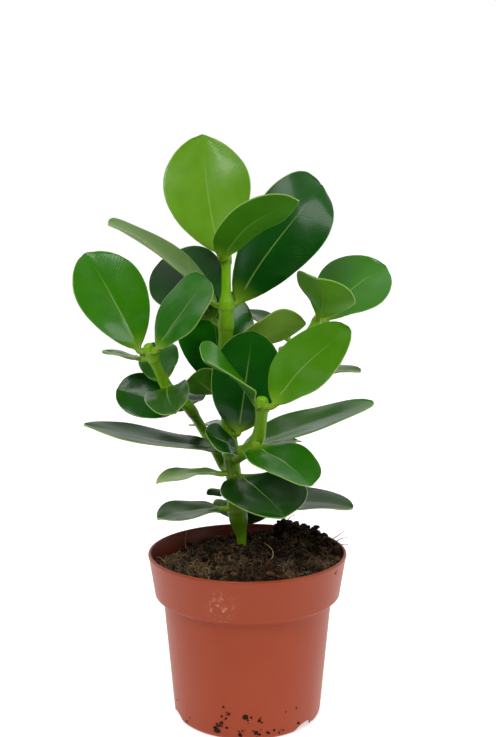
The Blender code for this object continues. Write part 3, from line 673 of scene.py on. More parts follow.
def pot_section(lip):
    """Half section of the pot as (radius, height), down the outside and back up the inside."""
    collar_foot = POT_HEIGHT - COLLAR_HEIGHT
    body_top = collar_foot - SHOULDER_DROP
    floor = FLOOR_LIFT + WALL
    outside = arc((RIM_RADIUS - lip, POT_HEIGHT - lip), lip, 90, -10, 6)
    outside += [
        (RIM_RADIUS - 0.45, POT_HEIGHT - 2.6 * lip),
        (COLLAR_FOOT_RADIUS + 0.25, collar_foot + 2.2),
        *arc((COLLAR_FOOT_RADIUS - 1.1, collar_foot + 1.0), 1.2, -5, -50, 4),
        *[(2 * (BODY_TOP_RADIUS + 1.1) - r, 2 * (body_top + 1.5) - z)
          for r, z in arc((BODY_TOP_RADIUS + 1.1, body_top + 1.5), 1.1, -50, -5, 4)],
        (BODY_TOP_RADIUS - 0.1, body_top - 1.0),
        *arc((BODY_FOOT_RADIUS - FOOT_CORNER, FOOT_CORNER), FOOT_CORNER, 0, -90, 6),
    ]
    inner_foot = BODY_FOOT_RADIUS - FOOT_RING_WIDTH
    underside = [
        (inner_foot, 0.0),
        (inner_foot - 1.0, FLOOR_LIFT),
        (PAD_RADIUS + PAD_SLOPE, FLOOR_LIFT),
        (PAD_RADIUS, 0.0),
        (0.0, 0.0),
    ]
    inside = [
        (0.0, WALL),
        (PAD_RADIUS - 0.8, WALL),
        (PAD_RADIUS + PAD_SLOPE - 1.2, floor),
        (body_radius(floor) - WALL - 1.5, floor),
        (body_radius(floor + 1.5) - WALL, floor + 1.5),
        (BODY_TOP_RADIUS - WALL, body_top + 0.5),
        (COLLAR_FOOT_RADIUS - WALL - 0.4, collar_foot + 0.3),
        (RIM_RADIUS - WALL - 0.6, POT_HEIGHT - 1.0),
        (RIM_RADIUS - WALL - 0.2, POT_HEIGHT - 0.15),
    ]
    return outside + underside, inside


class CLUSIA_OT_mould_pot(bpy.types.Operator):
    """Turns the pot with its rounded lip, shoulder and foot arches"""

    bl_idname = "clusia.mould_pot"
    bl_label = "Mould pot"

    def execute(self, context):
        settings = context.scene.clusia_pot
        outer, inner = pot_section(settings.lip / MM)
        bm = bmesh.new()
        rings = []
        for radius, height in outer + inner:
            if radius == 0.0:
                rings.append([bm.verts.new((0, 0, height))])
                continue
            ring = []
            for k in range(settings.steps):
                angle = 2 * math.pi * k / settings.steps
                ring.append(bm.verts.new((radius * math.cos(angle), radius * math.sin(angle), height)))
            rings.append(ring)
        axis = len(outer)
        for index, (a, b) in enumerate(zip(rings, rings[1:] + rings[:1])):
            if index != axis - 1:
                bridge(bm, a, b)
        bmesh.ops.recalc_face_normals(bm, faces=bm.faces)
        pot = finish_piece("pot_shell", bm, [pot_plastic(settings)], 35.0)
        for angle in ARCH_ANGLES:
            cut_arch(pot, math.radians(angle))
        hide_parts("pot")
        return {"FINISHED"}


def bridge(bm, a, b):
    """Faces between two closed rings, either of which may be a single point."""
    count = max(len(a), len(b))
    for k in range(count):
        n = (k + 1) % count
        if len(a) == 1:
            bm.faces.new((a[0], b[n], b[k]))
        elif len(b) == 1:
            bm.faces.new((a[k], a[n], b[0]))
        else:
            bm.faces.new((a[k], a[n], b[n], b[k]))


def cut_arch(pot, angle):
    """Cuts a low arch out of the foot ring with a round bar, then removes the bar."""
    spoke = Vector((math.cos(angle), math.sin(angle), 0))
    low, high = BODY_FOOT_RADIUS - FOOT_RING_WIDTH - 3.0, BODY_FOOT_RADIUS + 3.0
    bm = bmesh.new()
    bmesh.ops.create_cone(bm, cap_ends=True, segments=96, radius1=ARCH_RADIUS * MM, radius2=ARCH_RADIUS * MM,
                          depth=(high - low) * MM)
    mesh = bpy.data.meshes.new("arch_bar")
    bm.to_mesh(mesh)
    bm.free()
    bar = bpy.data.objects.new("arch_bar", mesh)
    bpy.context.scene.collection.objects.link(bar)
    bar.rotation_mode = "QUATERNION"
    bar.rotation_quaternion = UP.rotation_difference(spoke)
    bar.location = (spoke * (low + high) / 2 + UP * (ARCH_HEIGHT - ARCH_RADIUS)) * MM
    cut = pot.modifiers.new("arch", "BOOLEAN")
    cut.operation = "DIFFERENCE"
    cut.object = bar
    bpy.context.view_layer.update()
    seen = pot.evaluated_get(bpy.context.evaluated_depsgraph_get())
    shaped = bpy.data.meshes.new_from_object(seen)
    pot.modifiers.remove(cut)
    shaped.name = pot.data.name
    shaped.set_sharp_from_angle(angle=math.radians(35.0))
    pot.data = shaped
    bpy.data.objects.remove(bar)


def soil_height(x, y):
    """Height of the heaped soil's surface, as in the model."""
    reach = min(1.0, math.hypot(x, y) / (RIM_RADIUS - 2 * WALL))
    bearing = math.atan2(y, x) - math.radians(SOIL_SAG_ANGLE)
    sag = SOIL_SAG * max(0.0, math.cos(bearing)) ** 1.5 * reach**2
    level = SOIL_MIDDLE + (SOIL_EDGE - SOIL_MIDDLE) * reach**3 - sag
    for cx, cy, height, radius in CLUMPS:
        level += height * math.exp(-((x - cx) ** 2 + (y - cy) ** 2) / radius**2)
    grain = noise.noise(Vector((x, y, 3.0)) / SOIL_GRAIN)
    fine = noise.noise(Vector((x, y, 7.0)) / SOIL_GRAIN * 2.3)
    return level + SOIL_RELIEF * (grain + 0.5 * fine)


def crumbly_height(x, y, relief):
    """The soil's surface with its lumps, about 10 mm, 5 mm and 2 mm across."""
    heaps = noise.noise(Vector((x, y, 23.0)) / 10.0)
    lumps = noise.turbulence(Vector((x, y, 11.0)) / 5.0, 3, False) - 0.6
    grit = noise.noise(Vector((x, y, 17.0)) / 1.6)
    return soil_height(x, y) + relief * (0.5 * heaps + lumps + 0.4 * grit)


def paint(mesh, colours):
    """Stores one colour for each vertex under the name that the materials read."""
    layer = mesh.color_attributes.new("tint", "FLOAT_COLOR", "POINT")
    layer.data.foreach_set("color", [channel for colour in colours for channel in (*colour, 1.0)])


def blend_colours(a, b, share):
    return tuple(x + (y - x) * share for x, y in zip(a, b))


def soil_tint(point, settings):
    """Dark peat with drier, lighter patches, most of them at the front left."""
    patch = noise.noise(Vector((point.x, point.y, 5.0)) / 14.0) + 0.35 * noise.noise(point / 4.0)
    dry = max(0.0, min(1.0, 0.1 + 0.9 * patch + 0.004 * (-point.x - point.y)))
    return blend_colours(settings.peat, settings.bark, 0.4 * dry)


def soil_body(settings):
    """The heaped soil as one closed body, with a fine crumbly top."""
    bm = bmesh.new()
    floor = FLOOR_LIFT + WALL + GAP
    collar_foot = POT_HEIGHT - COLLAR_HEIGHT
    walls = [
        (PAD_RADIUS - 1.6, WALL + GAP),
        (PAD_RADIUS + PAD_SLOPE - 2.1, floor),
        (body_radius(floor) - WALL - 2.2, floor),
        (body_radius(floor + 2.0) - WALL - 0.8, floor + 2.0),
        (BODY_TOP_RADIUS - WALL - 0.7, collar_foot - SHOULDER_DROP + 0.8),
        (collar_radius(collar_foot) - 1.0, collar_foot + 1.7),
    ]
    rings = [[bm.verts.new((0, 0, WALL + GAP))]]
    for radius, height in walls:
        rings.append([bm.verts.new(spoke(k, radius, height)) for k in range(SOIL_SPOKES)])
    rim = []
    for k in range(SOIL_SPOKES):
        near = spoke(k, RIM_RADIUS - 3 * WALL, 0)
        height = min(soil_height(near.x, near.y), POT_HEIGHT - 1.5)
        rim.append(spoke(k, collar_radius(height) - 0.5, height))
    rings.append([bm.verts.new(point) for point in rim])
    relief = settings.relief / MM
    for step in range(SOIL_RINGS - 1, 0, -1):
        share = step / SOIL_RINGS
        ring = []
        for point in rim:
            x, y = point.x * share, point.y * share
            ring.append(bm.verts.new((x, y, crumbly_height(x, y, relief * min(1.0, 8 * (1 - share))))))
        rings.append(ring)
    rings.append([bm.verts.new((0, 0, crumbly_height(0, 0, relief)))])
    for low, high in zip(rings, rings[1:]):
        bridge(bm, low, high)
    bmesh.ops.recalc_face_normals(bm, faces=bm.faces)
    return bm


def spoke(index, radius, height):
    angle = 2 * math.pi * index / SOIL_SPOKES
    return Vector((radius * math.cos(angle), radius * math.sin(angle), height))


def ground_spot(rng, relief, mats=()):
    """A random place on the soil, clear of the pot's wall, or on one of the mats."""
    limit = RIM_RADIUS - 4.4
    if mats:
        cx, cy, radius = rng.choice(mats)
        x, y = rng.gauss(cx, 0.6 * radius), rng.gauss(cy, 0.6 * radius)
        over = max(1.0, math.hypot(x, y) / limit)
        x, y = x / over, y / over
    else:
        angle = rng.uniform(0, 2 * math.pi)
        radius = limit * math.sqrt(rng.random())
        x, y = radius * math.cos(angle), radius * math.sin(angle)
    return Vector((x, y, crumbly_height(x, y, relief)))


def add_crumb(bm, centre, size, rng, detail=2):
    """One lump: a small ball pushed out of round, with a random turn."""
    made = bmesh.ops.create_icosphere(bm, subdivisions=detail, radius=size / 2)["verts"]
    turn = Quaternion((rng.gauss(0, 1), rng.gauss(0, 1), rng.gauss(0, 1), rng.gauss(0, 1))).normalized()
    stretch = Vector((rng.uniform(0.8, 1.5), rng.uniform(0.7, 1.1), rng.uniform(0.5, 1.0)))
    seed = Vector((rng.uniform(0, 99), rng.uniform(0, 99), rng.uniform(0, 99)))
    for vertex in made:
        rough = 1 + 0.8 * noise.noise(vertex.co / size * 2.6 + seed)
        point = turn @ Vector(a * b for a, b in zip(vertex.co * rough, stretch))
        vertex.co = centre + Vector((point.x, point.y, 0.9 * point.z))
    return made


def add_tube(bm, path, radii, sides):
    """A closed tube along points, its rings kept from turning about the path."""
    rings = []
    ahead = (path[1] - path[0]).normalized()
    side = ahead.orthogonal().normalized()
    for k, (point, radius) in enumerate(zip(path, radii)):
        step = (path[min(k + 1, len(path) - 1)] - path[max(k - 1, 0)]).normalized()
        side = ahead.rotation_difference(step) @ side
        ahead = step
        across = ahead.cross(side)
        ring = []
        for i in range(sides):
            angle = 2 * math.pi * i / sides
            ring.append(bm.verts.new(point + (side * math.cos(angle) + across * math.sin(angle)) * radius))
        rings.append(ring)
    for low, high in zip(rings, rings[1:]):
        bridge(bm, low, high)
    bm.faces.new(list(reversed(rings[0])))
    bm.faces.new(rings[-1])
    return len(path) * sides


def fibre_path(start, heading, length, rng, lift, relief):
    """A wandering strand that starts in the soil and stays on or above it."""
    steps = 7
    points = [start.copy()]
    drift = Vector((rng.gauss(0, 1), rng.gauss(0, 1), rng.gauss(0, 0.3)))
    for k in range(steps):
        stray = Vector((rng.gauss(0, 1), rng.gauss(0, 1), rng.gauss(0, 0.5)))
        heading = (heading + drift * 0.28 + stray * 0.2).normalized()
        point = points[-1] + heading * length / steps
        out = math.hypot(point.x, point.y) / (RIM_RADIUS - 3.4)
        if out > 1.0:
            point.x, point.y = point.x / out, point.y / out
        ground = crumbly_height(point.x, point.y, relief) + 0.1
        if lift < 1.0:
            point.z = ground + lift * 3.0 * math.sin(math.pi * (k + 1) / steps)
        points.append(Vector((point.x, point.y, max(point.z, ground))))
    return points


class CLUSIA_OT_fill_soil(bpy.types.Operator):
    """Fills the pot with crumbly soil and strews crumbs, fibres and white grains over it"""

    bl_idname = "clusia.fill_soil"
    bl_label = "Fill soil"

    def execute(self, context):
        settings = context.scene.clusia_soil
        rng = random.Random(41)
        material = soil_peat()
        bm = soil_body(settings)
        places = [vertex.co.copy() for vertex in bm.verts]
        soil = finish_piece("soil_heap", bm, [material], 75.0)
        paint(soil.data, [soil_tint(place, settings) for place in places])
        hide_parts("soil")
        self.strew_crumbs(settings, material, rng)
        self.strew_fibres(settings, rng)
        self.stick_specks(settings, material, rng)
        return {"FINISHED"}

    def strew_crumbs(self, settings, material, rng):
        bm = bmesh.new()
        colours = []
        relief = settings.relief / MM
        for _ in range(settings.crumbs):
            size = rng.uniform(0.9, 2.4) if rng.random() < 0.85 else rng.uniform(2.4, 4.6)
            centre = ground_spot(rng, relief) + UP * size * 0.2
            made = add_crumb(bm, centre, size, rng, detail=1 if size < 1.4 else 2)
            colours += [blend_colours(settings.peat, settings.bark, rng.random() ** 2.6)] * len(made)
        for cx, cy, height, radius in CLUMPS:
            for _ in range(int(height * 16)):
                x, y = rng.gauss(cx, radius * 0.5), rng.gauss(cy, radius * 0.5)
                if math.hypot(x, y) > RIM_RADIUS - 4.5:
                    continue
                size = rng.uniform(1.2, 4.0)
                lift = rng.uniform(0.1, 0.6) * size
                made = add_crumb(bm, Vector((x, y, crumbly_height(x, y, relief) + lift)), size, rng)
                colours += [blend_colours(settings.peat, settings.bark, rng.random() ** 3)] * len(made)
        for x, y in PERLITE_PLACES:
            size = rng.uniform(0.9, 1.6)
            made = add_crumb(bm, Vector((x, y, crumbly_height(x, y, relief) + 0.6)), size, rng)
            colours += [tuple(settings.perlite)] * len(made)
        crumbs = finish_piece("soil_crumbs", bm, [material], 60.0)
        paint(crumbs.data, colours)

    def strew_fibres(self, settings, rng):
        bm = bmesh.new()
        colours = []
        relief = settings.relief / MM
        for k in range(settings.fibres):
            matted = k % 5 < 3
            start = ground_spot(rng, relief, MATS if matted else ())
            angle = rng.uniform(0, 2 * math.pi)
            standing = rng.random() < 0.2
            rise = rng.uniform(0.3, 1.3) if standing else 0.0
            heading = Vector((math.cos(angle), math.sin(angle), rise)).normalized()
            length = rng.uniform(3, 8) if standing else rng.uniform(3, 13)
            lift = 1.0 if standing else rng.uniform(0, 0.9) ** 2
            path = fibre_path(start - UP * 0.5, heading, length, rng, lift, relief)
            radius = rng.uniform(0.09, 0.2)
            radii = [radius * (1 - 0.6 * k / (len(path) - 1)) for k in range(len(path))]
            count = add_tube(bm, path, radii, 3)
            shade = blend_colours(settings.bark, settings.coir, rng.random() ** (0.7 if matted else 1.6))
            colours += [blend_colours(settings.peat, shade, rng.random())] * count
        for points in SPRIGS:
            path = smooth_path([(*point, 0.42 - 0.14 * k) for k, point in enumerate(points)], 1.5)
            count = add_tube(bm, [point.xyz for point in path], [point.w for point in path], 5)
            colours += [blend_colours(settings.bark, settings.coir, rng.random())] * count
        material = tinted_surface("coir_dried", {"Roughness": 0.8, "IOR": 1.45}, 0.8, 0.1)
        fibres = finish_piece("soil_fibres", bm, [material])
        paint(fibres.data, colours)

    def stick_specks(self, settings, material, rng):
        """Damp crumbs on the pot's outside, mostly round its foot."""
        bm = bmesh.new()
        colours = []
        for angle, height, size in SPECKS:
            turn = math.radians(angle)
            for part in range(3):
                grown = size * (1.0 if part == 0 else rng.uniform(0.3, 0.6))
                bearing = turn + (rng.gauss(0, 0.55) * size / BODY_TOP_RADIUS if part else 0.0)
                level = height + (rng.gauss(0, 0.5) * size if part else 0.0)
                wall = body_radius(level) if level < POT_HEIGHT / 2 else collar_radius(level) + WALL + 0.3
                out = Vector((math.cos(bearing), math.sin(bearing), 0))
                made = add_crumb(bm, Vector(), grown, rng)
                for vertex in made:
                    flat = vertex.co - out * vertex.co.dot(out) * 0.55
                    vertex.co = flat + out * (wall + 0.1 * grown) + UP * max(level, 0.8 * grown)
                colours += [blend_colours(settings.peat, settings.bark, 0.3 * rng.random())] * len(made)
        specks = finish_piece("pot_specks", bm, [material], 60.0)
        paint(specks.data, colours)


def smooth_path(points, spacing):
    """Catmull-Rom curve through (x, y, z, radius) points, a sample every few millimetres."""
    knots = [Vector(p) for p in points]
    knots = [2 * knots[0] - knots[1]] + knots + [2 * knots[-1] - knots[-2]]
    path = []
    for a, b, c, d in zip(knots, knots[1:], knots[2:], knots[3:]):
        steps = max(1, round((c - b).xyz.length / spacing))
        for k in range(steps):
            t = k / steps
            path.append(
                0.5 * (2 * b + (c - a) * t + (2 * a - 5 * b + 4 * c - d) * t**2
                       + (3 * b - 3 * c + d - a) * t**3)
            )
    return path + [knots[-2]]


def on_path(path, height):
    """Centre, axis and radius of a stem where it passes a height."""
    for a, b in zip(path, path[1:]):
        if a.z <= height <= b.z:
            here = a.lerp(b, (height - a.z) / (b.z - a.z))
            return here.xyz, (b - a).xyz.normalized(), here.w
    raise ValueError("no stem at height %g" % height)


def branch_knots(main, height, points):
    """A branch starts square to the main stem, a hair clear of it."""
    centre, axis, radius = on_path(main, height)
    outward = Vector(points[0][:3]) - centre
    outward = (outward - axis * outward.dot(axis)).normalized()
    first_radius = points[0][3]
    start = centre + outward * (radius + NODE_SWELL + GAP)
    collar = start + outward * 2.0
    return [(*start, first_radius + 0.3), (*collar, first_radius + 0.2), *points], outward


def stem_paths():
    """The model's own paths, on which the leaves stand."""
    paths = {"main": smooth_path(MAIN_STEM, STEM_STEP)}
    for name, (height, points) in BRANCHES.items():
        knots, _ = branch_knots(paths["main"], height, points)
        paths[name] = smooth_path(knots, STEM_STEP)
    for path in paths.values():
        tip = path[-1]
        ahead = (tip - path[-2]).xyz.normalized()
        path += [Vector((*(tip.xyz + ahead * rise), tip.w * share)) for rise, share in BUD]
    return paths


def fine_stem(name, paths):
    """Closely spaced samples of a stem. A branch runs on into the main stem, where it flares."""
    if name == "main":
        return smooth_path(MAIN_STEM, STEM_FINE_STEP)
    height, points = BRANCHES[name]
    knots, outward = branch_knots(paths["main"], height, points)
    start = Vector(knots[0])
    sunk = (*(start.xyz - outward * 3.5), start.w + 1.0)
    return smooth_path([sunk, *knots], STEM_FINE_STEP)


def grow_stem(name, paths, leaves, settings):
    """A tapered stem with swollen nodes, a ring at each, and a small bud at its end."""
    samples = fine_stem(name, paths)
    nodes = [leaf.height for leaf in leaves if leaf.stem == name]
    if name == "main":
        nodes += [height for height, _ in BRANCHES.values()]
    points, radii, colours = [], [], []
    for sample in samples:
        swell = sum(math.exp(-(((sample.z - h) / NODE_SPREAD) ** 2)) for h in nodes)
        ring = max([math.exp(-(((sample.z - h + 2.2) / 0.7) ** 2)) for h in nodes] + [0.0])
        age = max(0.0, min(1.0, (AGE_TOP - sample.z) / (AGE_TOP - AGE_FOOT)))
        tint = blend_colours(settings.green, settings.old, age**1.5)
        # Painted light: the stem is paler green within about 10 mm of the soil line, where it is lit, while
        # higher up it lies in the skirt leaf's shade.
        foot = math.exp(-(((sample.z - SOIL_MIDDLE) / 9.0) ** 2))
        tint = blend_colours(tint, settings.green, 0.45 * foot)
        points.append(sample.xyz)
        radii.append(sample.w + NODE_SWELL * min(1.0, swell) + 0.12 * ring)
        colours.append(blend_colours(tint, settings.ring, 0.55 * ring))
    tip = points[-1]
    radii = [radius * min(1.0, 0.88 + 0.12 * (tip - point).length / TIP_TAPER)
             for point, radius in zip(points, radii)]
    ahead = (points[-1] - points[-2]).normalized()
    last = radii[-1]
    for share in (0.3, 0.6, 0.85, 0.98):
        points.append(tip + ahead * 1.6 * share)
        radii.append(last * math.sqrt(1 - share * share))
        colours.append(tuple(settings.green))
    bm = bmesh.new()
    add_tube(bm, points, radii, STEM_SIDES)
    return bm, [colour for colour in colours for _ in range(STEM_SIDES)]


class CLUSIA_OT_grow_stems(bpy.types.Operator):
    """Grows the main stem and its three branches, joined at their roots"""

    bl_idname = "clusia.grow_stems"
    bl_label = "Grow stems"

    def execute(self, context):
        settings = context.scene.clusia_stem
        leaves = all_leaves()
        paths = stem_paths()
        material = stem_bark()
        for name in paths:
            node = "main_stem" if name == "main" else name
            bm, colours = grow_stem(name, paths, leaves, settings)
            stem = finish_piece("%s_bark" % node, bm, [material])
            paint(stem.data, colours)
            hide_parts(node)
        return {"FINISHED"}


def all_leaves():
    leaves = []
    for *fields, changes in LEAVES:
        leaves.append(Leaf(*fields, **{**SHAPE_DEFAULTS, **changes}))
    return leaves


def leaf_axes(leaf):
    """Directions of a blade at its base: along the midrib, to its side and up from its face."""
    azimuth, elevation = math.radians(leaf.azimuth), math.radians(leaf.elevation)
    chord = Vector((math.cos(elevation) * math.cos(azimuth), math.cos(elevation) * math.sin(azimuth),
                    math.sin(elevation)))
    side = Vector((math.sin(azimuth), -math.cos(azimuth), 0))
    above = side.cross(chord)
    turn = math.radians(leaf.roll)
    above = above * math.cos(turn) + chord.cross(above) * math.sin(turn)
    rise = math.radians(leaf.arch / 2 + leaf.hook / 5)
    along = chord * math.cos(rise) + above * math.sin(rise)
    up = above * math.cos(rise) - chord * math.sin(rise)
    return along, along.cross(up), up


def leaf_root(leaf, paths):
    """Root of the stalk on the stem's skin, the direction in which it leaves and the stem's radius."""
    centre, axis, radius = on_path(paths[leaf.stem], leaf.height)
    bearing = math.radians(leaf.azimuth + leaf.swing)
    outward = Vector((math.cos(bearing), math.sin(bearing), 0))
    outward = (outward - axis * outward.dot(axis)).normalized()
    return centre + outward * (radius + NODE_SWELL + GAP), outward, radius


def blade_path(leaf, start, along, up):
    """Midrib points with their own along and up vectors, bent back by arch and hook, sideways by bow."""
    frames = [(start.copy(), along.copy(), up.copy())]
    centre = start.copy()
    side = along.cross(up)
    for k in range(PATH_STEPS):
        share = (k + 0.5) / PATH_STEPS
        bend = math.radians(leaf.arch * share + leaf.hook * share**4)
        ahead = along * math.cos(bend) - up * math.sin(bend)
        above = up * math.cos(bend) + along * math.sin(bend)
        turn = math.radians(leaf.bow * (share - 0.5))
        ahead = ahead * math.cos(turn) + side * math.sin(turn)
        centre = centre + ahead * (leaf.length / PATH_STEPS)
        frames.append((centre, ahead, above))
    return frames


def half_width(leaf, share):
    """Half the blade's width, from its base at 0 to its tip at 1."""
    base = leaf.tip * leaf.widest / (1 - leaf.widest)
    peak = leaf.widest**base * (1 - leaf.widest) ** leaf.tip
    blade = leaf.width / 2 * share**base * (1 - share) ** leaf.tip / peak
    least = STALK_WIDTH / 2 * (1 - share) + TIP_WIDTH / 2 * share
    return math.hypot(blade, least)


def leaf_stations(leaf, paths, settings):
    """Centre, side, up and share of each ring, from inside the stem to the blade's tip."""
    root, outward, radius = leaf_root(leaf, paths)
    along, side, up = leaf_axes(leaf)
    bend_point = root + outward * leaf.stalk * 0.5
    base = bend_point + along * leaf.stalk * 0.5
    stations = []
    turn = along.rotation_difference(outward)
    sunk = root - outward * (radius * 0.6 + GAP)
    for share in (0.0, 0.45, 0.8):
        stations.append((sunk.lerp(root, share), turn @ side, turn @ up, share - 1.0))
    for k in range(STALK_RINGS + 1):
        t = k / STALK_RINGS
        centre = root.lerp(bend_point, t).lerp(bend_point.lerp(base, t), t)
        turn = along.rotation_difference(outward.lerp(along, t).normalized())
        stations.append((centre, turn @ side, turn @ up, 0.0))
    frames = blade_path(leaf, base, along, up)
    for k in range(1, settings.along + 1):
        share = 0.5 - 0.5 * math.cos(math.pi * k / settings.along)
        centre, ahead, above = frames[round(share * PATH_STEPS)]
        stations.append((centre, ahead.cross(above), above, share))
    return stations


def leaf_ring(leaf, station, across, seed):
    """One closed ring of a leaf: points over the face from side to side, then back under it.

    Beside each point stand its distances from midrib and margin, and whether it lies on the underside.
    """
    centre, side, up, share = station
    blade_share = max(share, 0.0)
    width = half_width(leaf, blade_share) if blade_share > 0 else STALK_WIDTH / 2
    body = max(0.0, 1 - blade_share / 0.18)
    rib = RIB_DEPTH * (1 - blade_share) ** 0.7
    slope = math.tan(math.radians(leaf.fold)) * (1 - body)
    flare = 1 + 0.35 * max(0.0, -share)
    points = []
    for k in range(2 * across):
        under = k > across
        t = -math.cos(math.pi * k / across)
        t = max(-1.0, min(1.0, t))
        crease = math.sqrt(t * t + RIB_SHARPNESS**2) - RIB_SHARPNESS
        ripple = leaf.wave * abs(t) ** 3 * math.sin(2 * math.pi * (1.4 * blade_share + leaf.phase + 0.2 * t))
        swell = BLADE_SWELL * noise.noise(Vector((1.3 * t, 3.2 * blade_share, seed)))
        lift = slope * width * crease + (ripple + swell * min(1.0, 4 * blade_share)) * (1 - body)
        margin = (1 - abs(t)) * width
        half_edge = BLADE_EDGE / 2
        rounding = math.sqrt(max(0.0, 1 - (1 - min(1.0, margin / half_edge)) ** 2))
        stalk = (STALK_DEPTH - BLADE_EDGE) / 2 * body * math.sqrt(max(0.0, 1 - t * t))
        depth = half_edge * rounding + stalk
        middle = centre + side * (t * width * flare) + up * lift
        if under:
            ridge = rib * (1 - body) * math.exp(-((t * width / (0.9 + 0.05 * width)) ** 2))
            point = middle - up * (depth * flare + ridge)
        else:
            groove = 0.3 * (1 - body) * (1 - blade_share) * math.exp(-((t * width / 0.9) ** 2))
            point = middle + up * (depth * flare - groove)
        points.append((point, abs(t) * width, margin, under))
    return points


def grow_leaf(leaf, paths, settings):
    """Blade and stalk as one closed body, with its maps and the tint of every point."""
    bm = bmesh.new()
    upper, under = leaf_tints_and_painted_light(leaf, settings)
    seed = sum(ord(letter) for letter in leaf.name) * 0.37
    rings, facts, colours = [], [], []
    for station in leaf_stations(leaf, paths, settings):
        share = max(station[3], 0.0)
        ring = []
        for point, from_rib, margin, is_under in leaf_ring(leaf, station, settings.across, seed):
            ring.append(bm.verts.new(point))
            plain = max(0.0, 1 - share / 0.1)
            run = share * leaf.length - VEIN_LEAN * from_rib
            facts.append((from_rib + 9 * plain, margin + 9 * plain, run, share))
            face = under if is_under else upper
            tip_glow = 0.25 * share**3
            tint = blend_colours(face, settings.young, tip_glow * 0.4)
            colours.append(blend_colours(tint, STALK_GREEN, max(0.0, 1 - share / 0.16) ** 1.5))
        rings.append(ring)
    rib_margin = bm.loops.layers.uv.new("rib_margin")
    veins = bm.loops.layers.uv.new("veins")
    bm.verts.index_update()
    for low, high in zip(rings, rings[1:]):
        for k in range(2 * settings.across):
            n = (k + 1) % (2 * settings.across)
            face = bm.faces.new((low[k], high[k], high[n], low[n]))
            face.material_index = 1 if k >= settings.across else 0
    bm.faces.new(rings[0])
    cap = bm.faces.new(list(reversed(rings[-1])))
    cap.material_index = 0
    for face in bm.faces:
        for loop in face.loops:
            from_rib, margin, run, share = facts[loop.vert.index]
            loop[rib_margin].uv = (from_rib * MAP_SCALE, margin * MAP_SCALE)
            loop[veins].uv = (run * MAP_SCALE, share)
    bmesh.ops.recalc_face_normals(bm, faces=bm.faces)
    return bm, colours


def leaf_tints_and_painted_light(leaf, settings):
    """Colours of a leaf's two faces: its tone's, or its own where it differs, which also hold painted shade
    and painted sheen.
    """
    upper = tuple(getattr(settings, leaf.tone))
    under = tuple(settings.under)
    own = LEAF_TINTS_AND_PAINTED_LIGHT.get(leaf.name, ())
    if own:
        # A leaf's own colours carry painted shade and painted sheen as well as its real colour.
        upper = rgb(own[0])
    if len(own) > 1:
        under = rgb(own[1])
    return upper, under


class CLUSIA_OT_grow_leaves(bpy.types.Operator):
    """Grows every leaf with its stalk, midrib, veins and pale margin"""

    bl_idname = "clusia.grow_leaves"
    bl_label = "Grow leaves"

    def execute(self, context):
        settings = context.scene.clusia_leaf
        paths = stem_paths()
        # Upper face of a grown Clusia leaf: a thick waxy cuticle gives a sharp gloss over a softer sheen.
        face = leaf_skin(
            "leaf_cuticle_upper",
            {"Roughness": 0.3, "IOR": 1.45, "Specular IOR Level": 0.22, "Coat Weight": 0.2,
             "Coat Roughness": 0.12, "Coat IOR": 1.45},
            settings, 0.012, 0.4, 0.22,
        )
        # Lower face: no wax layer, so it is matt and paler.
        back = leaf_skin(
            "leaf_skin_lower", {"Roughness": 0.55, "IOR": 1.4, "Specular IOR Level": 0.15},
            settings, 0.01, 0.25, 0.15,
        )
        for leaf in all_leaves():
            bm, colours = grow_leaf(leaf, paths, settings)
            blade = finish_piece("%s_blade" % leaf.name, bm, [face, back])
            paint(blade.data, colours)
            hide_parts(leaf.name)
        return {"FINISHED"}


